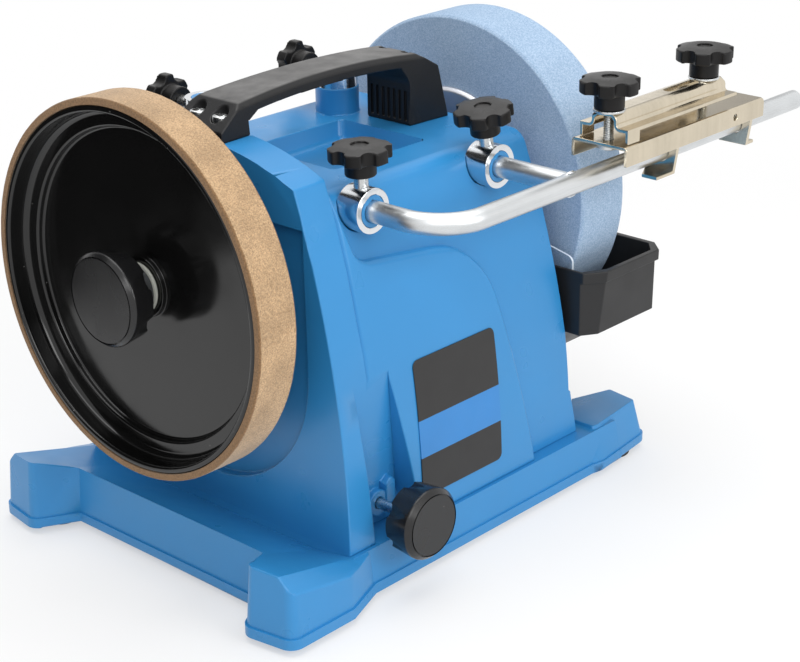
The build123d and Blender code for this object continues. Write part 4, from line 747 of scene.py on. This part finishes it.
def fitting(shape: Shape, edges: Iterable[Edge], width: float) -> list[Edge]:
    """Leaves out edges whose bevel would run past the far end of a short neighbour.

    Args:
        shape: The shape that they belong to.
        edges: The edges to choose from.
        width: Bevel width in millimetres.

    Returns:
        The edges that fit, in the shape's order, so that each run gives the same shape.
    """
    chosen = set(edges)
    while True:
        spoilt = set()
        for face in shape.faces:
            for loop in face.loops:
                ends = ((loop, loop.link_loop_prev.edge), (loop.link_loop_next, loop.link_loop_next.edge))
                near = [(corner, edge) for corner, edge in ends if edge in chosen and corner.is_convex]
                kept = loop.edge in chosen
                used = sum(drawn_back(corner.calc_angle(), kept) for corner, _ in near) * width * MM
                if used > ROLL_ROOM * loop.edge.calc_length():
                    spoilt.update(edge for _, edge in near)
        if not spoilt:
            return [edge for edge in shape.edges if edge in chosen]
        chosen -= spoilt


def drawn_back(angle: float, bevelled: bool) -> float:
    """Returns how far a bevel draws back the edge beside it, in widths, for the angle between them."""
    if bevelled:
        return 1.0 / math.tan(max(angle, 0.2) / 2)
    return 1.0 / max(math.sin(angle), 0.1)


def span(verts: Iterable[bmesh.types.BMVert]) -> tuple[Vector, Vector]:
    """Returns the lowest and highest corner of the box round some vertices."""
    ways = list(zip(*(vert.co for vert in verts)))
    return Vector([min(way) for way in ways]), Vector([max(way) for way in ways])


def bevel(shape: Shape, edges: Iterable[Edge], width: float, segments: int) -> None:
    """Bevels edges by a width in millimetres."""
    bmesh.ops.bevel(
        shape,
        geom=list(edges),
        offset=width * MM,
        offset_type="OFFSET",
        segments=segments,
        profile=0.5,
        affect="EDGES",
        clamp_overlap=False,
        loop_slide=True,
        material=-1,
    )


def stand(shape: Shape, foot: Vector, way: Sequence[float]) -> None:
    """Moves a shape drawn upright at the origin, in millimetres, to its foot, turned along a direction."""
    turn = Vector((0.0, 0.0, 1.0)).rotation_difference(Vector(way)).to_matrix().to_4x4()
    placing = Matrix.Translation(foot) @ turn @ Matrix.Scale(MM, 4)
    bmesh.ops.transform(shape, matrix=placing, verts=shape.verts)


def wind(
    shape: Shape, outline: Sequence[tuple[float, float]], steps: int, turns: float = 1.0, pitch: float = 0.0
) -> None:
    """Winds an open outline of radius and height pairs round the upright axis.

    Args:
        shape: The shape that it is added to, in millimetres.
        outline: Radius and height of each point.
        steps: Facets in one turn.
        turns: How many times round.
        pitch: Climb in one turn.
    """
    verts = [shape.verts.new((radius, 0.0, height)) for radius, height in outline]
    edges = [shape.edges.new(pair) for pair in zip(verts, verts[1:])]
    bmesh.ops.spin(
        shape,
        geom=verts + edges,
        cent=(0.0, 0.0, 0.0),
        axis=(0.0, 0.0, 1.0),
        dvec=(0.0, 0.0, pitch / steps),
        angle=2 * math.pi * turns,
        steps=int(round(steps * turns)),
        use_merge=pitch == 0,
    )
    bmesh.ops.remove_doubles(shape, verts=shape.verts, dist=MERGED_WITHIN / MM)
    bmesh.ops.recalc_face_normals(shape, faces=shape.faces)


def close_up(shape: Shape) -> None:
    """Fills the open ends of a shape and turns its faces outwards."""
    bmesh.ops.holes_fill(shape, edges=[edge for edge in shape.edges if edge.is_boundary], sides=0)
    bmesh.ops.recalc_face_normals(shape, faces=shape.faces)


@dataclass
class CrossScrew:
    """Round-headed screw with a cross recess."""

    head_d: float
    head_h: float
    shank_d: float
    shank_len: float
    arm_w: float = 1.5
    arm_len: float = 2.6
    recess: float = 1.6
    dome: float = 1.2
    taper: float = 0.7
    steps: int = 32

    def drawn(self, foot: Vector, way: Sequence[float]) -> Shape:
        """Draws the screw with the underside of its head at the foot, facing a way."""
        shape = bmesh.new()
        radius, top = self.head_d / 2, self.head_h
        bmesh.ops.create_circle(shape, cap_ends=True, radius=radius - self.dome, segments=self.steps)
        cuts = [side * reach for reach in (self.arm_w / 2, self.arm_len) for side in (-1, 1)]
        for across in (Axis.X, Axis.Y):
            for cut in cuts:
                everything = [*shape.verts, *shape.edges, *shape.faces]
                bmesh.ops.bisect_plane(
                    shape, geom=everything, plane_co=Vector(across.value) * cut, plane_no=across.value
                )
        arms = [face for face in shape.faces if self.in_cross(face.calc_center_median())]
        rim = [edge for edge in shape.edges if edge.is_boundary]
        bmesh.ops.translate(shape, verts=shape.verts, vec=(0.0, 0.0, top))
        sunk = bmesh.ops.extrude_face_region(shape, geom=arms)["geom"]
        floor = [item for item in sunk if isinstance(item, bmesh.types.BMVert)]
        bmesh.ops.scale(shape, vec=(self.taper, self.taper, 1.0), verts=floor)
        bmesh.ops.translate(shape, verts=floor, vec=(0.0, 0.0, -self.recess))
        for new_radius, height in (
            (radius - 0.3 * self.dome, top - 0.3 * self.dome),
            (radius, top - self.dome),
            (radius, 0.0),
            (self.shank_d / 2, 0.0),
            (self.shank_d / 2, -self.shank_len),
        ):
            rim = self.drawn_out(shape, rim, new_radius, height)
        close_up(shape)
        shade(shape, 40.0)
        stand(shape, foot, way)
        return shape

    def in_cross(self, centre: Vector) -> bool:
        """Tells whether a face of the head lies in the cross."""
        near, far = sorted((abs(centre.x), abs(centre.y)))
        return near < self.arm_w / 2 and far < self.arm_len

    @staticmethod
    def drawn_out(shape: Shape, rim: Sequence[Edge], radius: float, height: float) -> list[Edge]:
        """Carries a round rim on to another radius and height and returns the new rim."""
        grown = bmesh.ops.extrude_edge_only(shape, edges=list(rim))["geom"]
        for vert in (item for item in grown if isinstance(item, bmesh.types.BMVert)):
            flat = Vector((vert.co.x, vert.co.y, 0.0)).normalized() * radius
            vert.co = (flat.x, flat.y, height)
        return [item for item in grown if isinstance(item, Edge) and item.is_boundary]


def islands(shop: Workshop, node: str) -> list[tuple[Vector, Vector]]:
    """Finds the lowest and highest corner of each of a solid's separate bodies, in order."""
    shape = shop.copied(node)
    left = set(shape.verts)
    boxes = []
    while left:
        reached = [left.pop()]
        body = list(reached)
        while reached:
            here = reached.pop()
            for edge in here.link_edges:
                there = edge.other_vert(here)
                if there in left:
                    left.remove(there)
                    reached.append(there)
                    body.append(there)
        boxes.append(span(body))
    shape.free()
    return sorted(boxes, key=lambda box: tuple(box[0]))


def join(whole: Shape, part: Shape) -> None:
    """Adds one shape to another and frees it."""
    mesh = bpy.data.meshes.new("joined")
    part.to_mesh(mesh)
    part.free()
    whole.from_mesh(mesh)
    bpy.data.meshes.remove(mesh)


def set_screws(shop: Workshop, node: str, screw: CrossScrew, up: float) -> None:
    """Puts cross-recessed screws where a solid's plain ones are, with their heads up (1) or down (-1)."""
    whole = bmesh.new()
    for low, high in islands(shop, node):
        middle = (low + high) / 2
        crown = high.z if up > 0 else low.z
        foot = Vector((middle.x, middle.y, crown - up * screw.head_h * MM))
        join(whole, screw.drawn(foot, (0.0, 0.0, up)))
    shop.keep(whole, f"{node}_piece", (BRIGHT_ZINC,), replaces=node)


@dataclass
class Shell:
    """Blue housing on its lipped base, with the label, the gland, the switch and the feet."""

    shop: Workshop
    housing_roll: float = 0.9
    base_roll: float = 1.2
    tray_low: tuple[float, float, float] = (-147.0, -43.0, 36.0)
    tray_high: tuple[float, float, float] = (-71.0, 26.0, 49.0)
    tray_round: float = 3.4
    tray_turn: float = 0.5
    screw: CrossScrew = field(default_factory=lambda: CrossScrew(8.0, 2.0, 4.0, 10.0, 1.2, 2.2, 1.0, 0.8))

    def build(self) -> None:
        """Dresses the shell."""
        self.housing()
        for node, finish, roll, segments in (
            ("base_frame", SHELL_BLUE, self.base_roll, 3),
            ("label_plate", LABEL_FILM, 0.25, 2),
            ("cable_gland", KNOB_BLACK, 0.4, 2),
            ("switch_frame", TANK_BLACK, 0.5, 2),
            ("switch_rocker", GLOSS_BLACK, 0.4, 3),
            ("rubber_feet", RUBBER, 0.8, 3),
            ("bottom_plate", TANK_BLACK, 0.3, 2),
        ):
            self.shop.softened(node, finish, roll, segments)
        set_screws(self.shop, "base_screws", self.screw, -1.0)

    def housing(self) -> None:
        """Rounds the tool tray's hollow corners widely and the housing's other edges a little."""
        shape = self.shop.copied("housing")
        low, high = at(*self.tray_low), at(*self.tray_high)
        hollow = [
            edge
            for edge in shape.edges
            if all(low[way] < vert.co[way] < high[way] for vert in edge.verts for way in range(3))
            and not edge.is_convex
            and edge.calc_face_angle() > self.tray_turn
        ]
        log.info("the tray has %d hollow corners", len(hollow))
        bevel(shape, fitting(shape, hollow, self.tray_round), self.tray_round, 5)
        shape = rolled(shape, self.housing_roll, 3)
        self.shop.keep(shape, "housing_piece", (SHELL_BLUE,), replaces="housing")


@dataclass
class CarryHandle:
    """Arched black handle and the two screws that hold its left leg."""

    shop: Workshop
    roll: float = 0.9
    screw: CrossScrew = field(default_factory=lambda: CrossScrew(9.0, 5.5, 5.0, 24.0))

    def build(self) -> None:
        """Dresses the handle."""
        self.shop.softened("carry_handle", HANDLE_BLACK, self.roll, 3)
        set_screws(self.shop, "handle_screws", self.screw, 1.0)


@dataclass
class HoningWheel:
    """Dished black disc with a suede band, a washer and a fluted grip."""

    shop: Workshop
    roll: float = 1.6
    rim_hollow: float = 4.0
    web_hollow: float = 2.2
    rim_wide: float = 20.0
    flange_t: float = 2.2
    flange_edge: float = 0.7
    cone_r: tuple[float, float] = (12.4, 11.4)
    washer_steps: int = 64
    band_rows: int = 10
    band_steps: int = 300
    band_roll: float = 1.0
    nap: float = 0.16

    def build(self) -> None:
        """Dresses the wheel."""
        self.disc()
        self.shop.softened("honing_knob", GRIP_BLACK, 0.9, 3)
        self.washer()
        self.band()

    def disc(self) -> None:
        """Rounds the disc's hollow corners widely and its other edges a little."""
        low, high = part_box("honing_disc")
        rim_r = (high.z - low.z) / 2 - self.rim_wide * MM
        shape = self.shop.copied("honing_disc")
        for outer, width in ((True, self.rim_hollow), (False, self.web_hollow)):
            hollow = [
                edge
                for edge in shape.edges
                if edge.calc_face_angle() > CORNER
                and not edge.is_convex
                and ((edge.verts[0].co - AXLE).yz.length > rim_r) == outer
                and edge.verts[0].co.x < (low.x + high.x) / 2 + self.roll * MM
            ]
            bevel(shape, fitting(shape, hollow, width), width, 5)
        shape = rolled(shape, self.roll, 4)
        self.shop.keep(shape, "honing_disc_piece", (GLOSS_BLACK,), replaces="honing_disc")

    def washer(self) -> None:
        """Turns the washer as a thin flange against the hub with a cone towards the knob, whose dark colour
        is painted shade.
        """
        low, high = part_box("honing_washer")
        radius = (high.z - low.z) / 2 / MM
        thick = (high.x - low.x) / MM
        shaft_low, shaft_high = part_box("main_shaft")
        bore = (shaft_high.z - shaft_low.z) / 2 / MM
        edge = self.flange_edge
        outline = [
            (bore, 0.0),
            (radius - edge, 0.0),
            (radius, edge),
            (radius, self.flange_t - edge),
            (radius - 0.3 * edge, self.flange_t - 0.3 * edge),
            (radius - edge, self.flange_t),
            (self.cone_r[0], self.flange_t),
            (self.cone_r[1], thick),
            (bore, thick),
            (bore, 0.0),
        ]
        shape = bmesh.new()
        wind(shape, outline, self.washer_steps)
        # the flange takes the pale zinc, the cone a dark finish that is painted shade on the same washer
        for face in shape.faces:
            face.material_index = 0 if face.calc_center_median().z < self.flange_t + 0.1 * edge else 1
        shade(shape, 30.0)
        stand(shape, Vector((high.x, AXLE.y, AXLE.z)), (-1.0, 0.0, 0.0))
        self.shop.keep(shape, "honing_washer_piece", (CAST_ZINC, WASHER_CONE_SHADE), replaces="honing_washer")

    def band(self) -> None:
        """Winds the suede band, rounds its edges and roughs its nap inwards."""
        low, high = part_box("leather_band")
        disc_low, disc_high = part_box("honing_disc")
        outer = (high.z - low.z) / 2 / MM
        inner = (disc_high.y - disc_low.y) / 2 / MM
        width = (high.x - low.x) / MM
        rows = [width * row / self.band_rows for row in range(self.band_rows + 1)]
        shape = bmesh.new()
        outline = [(outer, row) for row in rows] + [(inner, width), (inner, 0.0), (outer, 0.0)]
        wind(shape, outline, self.band_steps)
        rims = [
            edge
            for edge in shape.edges
            if edge.calc_face_angle(0.0) > CORNER and edge.verts[0].co.xy.length > outer - self.band_roll
        ]
        bmesh.ops.bevel(
            shape, geom=rims, offset=self.band_roll, segments=4, profile=0.5, affect="EDGES", material=-1
        )
        for vert in shape.verts:
            out = Vector((vert.co.x, vert.co.y, 0.0))
            if out.length > inner + 1.0:
                rough = 0.5 + 0.5 * noise.fractal(vert.co * 0.35, 1.0, 2.0, 4)
                vert.co -= out.normalized() * self.nap * max(0.0, min(1.0, rough))
        shade(shape)
        stand(shape, Vector((low.x, AXLE.y, AXLE.z)), Axis.X.value)
        suede = Suede("suede_band", srgb(182, 153, 119), 0.9, cut_at=(low.x, high.x))
        self.shop.keep(shape, "leather_band_piece", (suede,), replaces="leather_band")


@dataclass
class GrindingWheel:
    """Blue abrasive wheel between two flanges, held by a nut."""

    shop: Workshop
    roll: float = 0.5

    def build(self) -> None:
        """Dresses the wheel."""
        self.shop.softened("grinding_stone", STONE, self.roll, 3)
        self.shop.softened("outer_flange", ZINC_SHEET, 0.8, 3)
        self.shop.softened("inner_flange", ZINC_SHEET, 0.6, 2)
        self.shop.softened("stone_nut", BRIGHT_ZINC, 0.6, 2)


@dataclass
class ToolRest:
    """Bent support bar in its sleeves, with the clamp collars, screws and star knobs."""

    shop: Workshop
    knob_roll: float = 0.9
    collar_roll: float = 0.6
    bead_r: float = 1.3
    bead_out: float = 0.3
    bead_sides: int = 8
    bead_steps: int = 40
    ripples: int = 9
    ripple_h: float = 0.2

    def build(self) -> None:
        """Dresses the rest."""
        for side in ("left", "right"):
            for end in ("front", "rear"):
                self.shop.softened(f"{end}_knob_{side}", KNOB_BLACK, self.knob_roll, 3)
                self.shop.finish_node(f"{end}_screw_{side}", BRIGHT_ZINC)
        self.shop.softened("front_collars", CHROME, self.collar_roll, 3)
        self.shop.softened("rear_collars", CHROME, self.collar_roll, 3)
        self.shop.softened("support_bar", SATIN_ZINC, 0.5, 2)
        self.shop.finish_node("support_leg", SATIN_ZINC)
        self.weld()

    def weld(self) -> None:
        """Runs a weld bead round the leg, over the saddle where it meets the bar."""
        leg_low, leg_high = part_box("support_leg")
        radius = (leg_high.x - leg_low.x) / 2 / MM
        shape = bmesh.new()
        angles = [2 * math.pi * step / self.bead_sides for step in range(self.bead_sides + 1)]
        centre = radius + self.bead_out
        ring = [
            (centre + self.bead_r * math.cos(angle), self.bead_r * math.sin(angle)) for angle in angles
        ]
        wind(shape, ring, self.bead_steps)
        for vert in shape.verts:
            saddle = math.sqrt(max(0.0, radius**2 - min(abs(vert.co.y), radius) ** 2))
            ripple = self.ripple_h * math.sin(self.ripples * math.atan2(vert.co.y, vert.co.x))
            vert.co.z += saddle + ripple
        shade(shape)
        middle = (leg_low + leg_high) / 2
        bar_low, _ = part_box("support_bar")
        stand(shape, Vector((middle.x, bar_low.y + radius * MM, middle.z)), Axis.Y.value)
        self.shop.keep(shape, "weld_bead", (SATIN_ZINC,), beside="support_leg")


@dataclass
class SharpeningJig:
    """Folded sheet jig on the bar: base, hooks, clamp bar, threaded studs, washers and knobs."""

    shop: Workshop
    sheet_roll: float = 0.35
    fold_out: float = 4.0
    fold_in: float = 2.0
    fold_len: float = 20.0
    fold_reach: float = 3.0
    pitch: float = 1.0
    thread_steps: int = 20
    thread_depth: float = 0.55
    shank_r: float = 3.0
    head_h: float = 4.0
    head_steps: int = 32

    def build(self) -> None:
        """Dresses the jig."""
        self.shop.softened("jig_base", NICKEL, self.sheet_roll, 2)
        self.folded("jig_clamp_bar")
        self.shop.softened("jig_hooks", NICKEL, self.sheet_roll, 2)
        self.shop.softened("jig_washers", BRIGHT_ZINC, 0.4, 2)
        for side in ("left", "right"):
            self.shop.softened(f"jig_knob_{side}", KNOB_BLACK, 0.9, 3)
        self.studs()

    def folded(self, node: str) -> None:
        """Replaces a bent sheet by a copy whose folds are round."""
        shape = self.shop.copied(node)
        for outer, width in ((True, self.fold_out), (False, self.fold_in)):
            folds = [edge for edge in shape.edges if self.is_fold(edge) and edge.is_convex == outer]
            bevel(shape, fitting(shape, folds, width), width, 4)
            log.info("%s has %d folds %.1f mm wide", node, len(folds), width)
        shape = rolled(shape, self.sheet_roll, 2)
        self.shop.keep(shape, f"{node}_piece", (NICKEL,), replaces=node)

    def is_fold(self, edge: Edge) -> bool:
        """Tells whether an edge runs along the sheet, between two wide faces of it."""
        if not edge.is_manifold or edge.calc_face_angle() < CORNER:
            return False
        if edge.calc_length() < self.fold_len * MM:
            return False
        start = edge.verts[0].co
        way = (edge.verts[1].co - start).normalized()
        if abs(way.x) < 0.99:
            return False
        reaches = [max((v.co - start).cross(way).length for v in face.verts) for face in edge.link_faces]
        return min(reaches) > self.fold_reach * MM

    def studs(self) -> None:
        """Winds the threaded studs on their round heads."""
        whole = bmesh.new()
        for low, high in islands(self.shop, "jig_studs"):
            middle = (low + high) / 2
            head_r = (high.x - low.x) / 2 / MM
            root_r = self.shank_r - self.thread_depth
            length = (high.z - low.z) / MM - self.head_h
            stud = bmesh.new()
            thread = [(root_r, 0.0), (self.shank_r, 0.5 * self.pitch), (root_r, self.pitch)]
            wind(stud, thread, self.thread_steps, int(length / self.pitch) - 1, self.pitch)
            close_up(stud)
            shade(stud, 30.0)
            stand(stud, Vector((middle.x, middle.y, low.z + self.head_h * MM)), Axis.Z.value)
            join(whole, stud)
            head = bmesh.new()
            crown = [(0.0, 0.0), (0.6 * head_r, 0.3), (head_r, 1.4)]
            dome = [*crown, (head_r, self.head_h), (0.0, self.head_h)]
            wind(head, dome, self.head_steps)
            shade(head, 40.0)
            stand(head, Vector((middle.x, middle.y, low.z)), Axis.Z.value)
            join(whole, head)
        self.shop.keep(whole, "jig_studs_piece", (BRIGHT_ZINC,), replaces="jig_studs")


@dataclass
class WaterTank:
    """Black trough with a rim, and the clear splash sheet that stands in it."""

    shop: Workshop
    roll: float = 0.7
    sheet_corner: float = 3.5

    def build(self) -> None:
        """Dresses the tank."""
        self.shop.softened("water_tank", TANK_BLACK, self.roll, 3)
        shape = self.shop.copied("splash_guard")
        corners = [
            edge for edge in shape.edges if abs((edge.verts[0].co - edge.verts[1].co).normalized().x) > 0.99
        ]
        bevel(shape, corners, self.sheet_corner, 6)
        # the sheet's narrow edges take the pale painted-highlight finish, its broad faces the clear one
        for face in shape.faces:
            face.material_index = 0 if abs(face.normal.x) > 0.9 else 1
        shade(shape, 40.0)
        self.shop.keep(shape, "splash_guard_piece", (CLEAR, SHEET_EDGE_HIGHLIGHT), replaces="splash_guard")


@dataclass
class DriveUnit:
    """Motor on its swinging cradle, the spindle in its bushes and the tension grip."""

    shop: Workshop

    def build(self) -> None:
        """Finishes the drive's solids, most of which the housing covers."""
        self.shop.softened("tension_knob", GRIP_BLACK, 0.7, 3)
        for node, finish in (
            ("axle_bushes", BRONZE),
            ("capacitor", CAST_ALLOY),
            ("cooling_fan", TANK_BLACK),
            ("cradle_bracket", ZINC_SHEET),
            ("cradle_pivot_pin", GROUND_STEEL),
            ("drive_ring", RUBBER),
            ("drive_roller", GROUND_STEEL),
            ("honing_flange", ZINC_SHEET),
            ("main_shaft", GROUND_STEEL),
            ("motor_bearings", GROUND_STEEL),
            ("motor_cradle", ZINC_SHEET),
            ("motor_end_shields", CAST_ALLOY),
            ("motor_rotor", LAMINATIONS),
            ("motor_shaft", GROUND_STEEL),
            ("motor_stator", LAMINATIONS),
            ("motor_windings", COPPER),
            ("tension_nut", ZINC_SHEET),
            ("tension_screw", BRIGHT_ZINC),
        ):
            self.shop.finish_node(node, finish)


@dataclass
class Studio:
    """Camera, soft lamps, pale floor, white surround and grey cards that only metal and gloss show."""

    azimuth: float = -47.22
    elevation: float = 22.14
    tilt: float = -0.79
    eye: tuple[float, float, float] = (-0.79592, -0.72452, 0.52818)
    focal_px: float = 1917.24
    picture_w: int = 800
    room: float = 0.5
    floor_r: float = 9.0
    floor_tone: float = 0.9
    near_lift: float = 0.5
    fade: tuple[float, float] = (0.35, 0.75)

    def build(self) -> None:
        """Sets the scene round the object."""
        scene = bpy.context.scene
        scene.view_settings.view_transform = "Standard"
        self.camera(scene)
        self.surround(scene)
        self.floor()
        self.lamps()
        self.cards()

    def camera(self, scene: bpy.types.Scene) -> None:
        """Stands the camera where the photograph was taken from."""
        turn, lift, roll = (math.radians(v) for v in (self.azimuth, self.elevation, self.tilt))
        back = Vector((math.sin(turn) * math.cos(lift), -math.cos(turn) * math.cos(lift), math.sin(lift)))
        right = Vector((0.0, 0.0, 1.0)).cross(back).normalized()
        up = back.cross(right)
        across = math.cos(roll) * right + math.sin(roll) * up
        upward = -math.sin(roll) * right + math.cos(roll) * up
        data = bpy.data.cameras.new("photo_camera")
        data.sensor_fit = "HORIZONTAL"
        data.sensor_width = 36.0
        data.lens = self.focal_px * data.sensor_width / self.picture_w
        data.clip_start = 0.05
        camera = bpy.data.objects.new("photo_camera", data)
        placing = Matrix((across, upward, back)).transposed().to_4x4()
        placing.translation = Vector(self.eye)
        camera.matrix_world = placing
        scene.collection.objects.link(camera)
        scene.camera = camera

    def seen(self, board: Board) -> Socket:
        """Adds a mask of the rays that should meet plain white and returns it."""
        path = board.add("ShaderNodeLightPath")
        first = board.math("MAXIMUM", path.outputs["Is Camera Ray"], path.outputs["Is Glossy Ray"])
        return board.math("MAXIMUM", first, path.outputs["Is Transmission Ray"])

    def surround(self, scene: bpy.types.Scene) -> None:
        """Lights the room softly and shows white behind the object."""
        world = bpy.data.worlds.new("soft_room")
        world.use_nodes = True
        world.node_tree.nodes.clear()
        scene.world = world
        board = Board(world.node_tree)
        room = board.add("ShaderNodeBackground", {"Color": WHITE, "Strength": self.room})
        white = board.add("ShaderNodeBackground", {"Color": WHITE, "Strength": 1.0})
        mix = board.add(
            "ShaderNodeMixShader",
            {0: self.seen(board), 1: room.outputs["Background"], 2: white.outputs["Background"]},
        )
        board.add("ShaderNodeOutputWorld", {"Surface": mix.outputs[0]})

    def plate(self, name: str, shape: Shape) -> tuple[bpy.types.Object, Board]:
        """Makes a stage object with an empty material and returns it with the material's board."""
        mesh = bpy.data.meshes.new(name)
        shape.to_mesh(mesh)
        shape.free()
        plate = bpy.data.objects.new(name, mesh)
        bpy.context.scene.collection.objects.link(plate)
        material = bpy.data.materials.new(name)
        material.use_nodes = True
        material.node_tree.nodes.clear()
        mesh.materials.append(material)
        plate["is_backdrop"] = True
        return plate, Board(material.node_tree)

    def floor(self) -> None:
        """Lays a pale floor that keeps a soft shadow near the object and fades to white."""
        shape = bmesh.new()
        bmesh.ops.create_circle(shape, cap_ends=True, radius=self.floor_r, segments=96)
        _, board = self.plate("floor", shape)
        tone = self.floor_tone
        matt = board.add("ShaderNodeBsdfDiffuse", {"Color": (tone, tone, tone, 1.0)})
        glow = board.add("ShaderNodeEmission", {"Color": WHITE, "Strength": 1.0})
        reach = board.add("ShaderNodeVectorMath", {0: board.place()}, operation="LENGTH").outputs["Value"]
        lift = board.math("MULTIPLY", self.seen(board), board.remap(reach, self.fade, (self.near_lift, 1.0)))
        mix = board.add(
            "ShaderNodeMixShader", {0: lift, 1: matt.outputs["BSDF"], 2: glow.outputs["Emission"]}
        )
        board.add("ShaderNodeOutputMaterial", {"Surface": mix.outputs[0]})

    def lamps(self) -> None:
        """Hangs a wide overhead lamp, a key lamp at the left front and a fill straight in front."""
        for name, place, aim, size, power in (
            ("overhead", (0.0, 0.1, 1.6), (0.0, 0.0, 0.1), 1.6, 17.0),
            ("key", (-1.3, -1.2, 1.3), (0.0, 0.0, 0.12), 0.9, 9.0),
            ("fill", (0.1, -1.9, 1.0), (0.05, 0.0, 0.12), 1.0, 15.5),
        ):
            data = bpy.data.lights.new(name, "AREA")
            data.size = size
            data.energy = power
            lamp = bpy.data.objects.new(name, data)
            lamp.location = place
            lamp.rotation_euler = (Vector(aim) - Vector(place)).to_track_quat("-Z", "Y").to_euler()
            bpy.context.scene.collection.objects.link(lamp)

    def cards(self) -> None:
        """Stands grey cards beside the object, which give metal and gloss something dark to show."""
        for name, place, way, width, height, tone in (
            ("card_behind_left", (-0.8, 0.38, 0.5), (0.0, -1.0, 0.0), 1.1, 1.0, 0.02),
            ("card_right", (1.25, 0.43, 0.6), (-1.0, 0.0, 0.0), 0.5, 0.7, 0.5),
        ):
            shape = bmesh.new()
            bmesh.ops.create_grid(shape, x_segments=1, y_segments=1, size=0.5)
            bmesh.ops.scale(shape, vec=(width, height, 1.0), verts=shape.verts)
            turn = Vector(way).to_track_quat("Z", "Y").to_matrix().to_4x4()
            bmesh.ops.transform(shape, matrix=Matrix.Translation(place) @ turn, verts=shape.verts)
            card, board = self.plate(name, shape)
            glow = board.add("ShaderNodeEmission", {"Color": (tone, tone, tone, 1.0), "Strength": 1.0})
            board.add("ShaderNodeOutputMaterial", {"Surface": glow.outputs["Emission"]})
            card.visible_camera = False
            card.visible_diffuse = False
            card.visible_transmission = False
            card.visible_shadow = False


def main() -> None:
    """Builds the studio and dresses each sub-assembly."""
    logging.basicConfig(level=logging.INFO, format="%(name)s: %(message)s")
    shop = Workshop()
    Studio().build()
    assemblies = (
        Shell,
        CarryHandle,
        HoningWheel,
        GrindingWheel,
        ToolRest,
        SharpeningJig,
        WaterTank,
        DriveUnit,
    )
    for assembly in assemblies:
        assembly(shop).build()


if __name__ == "__main__":
    main()
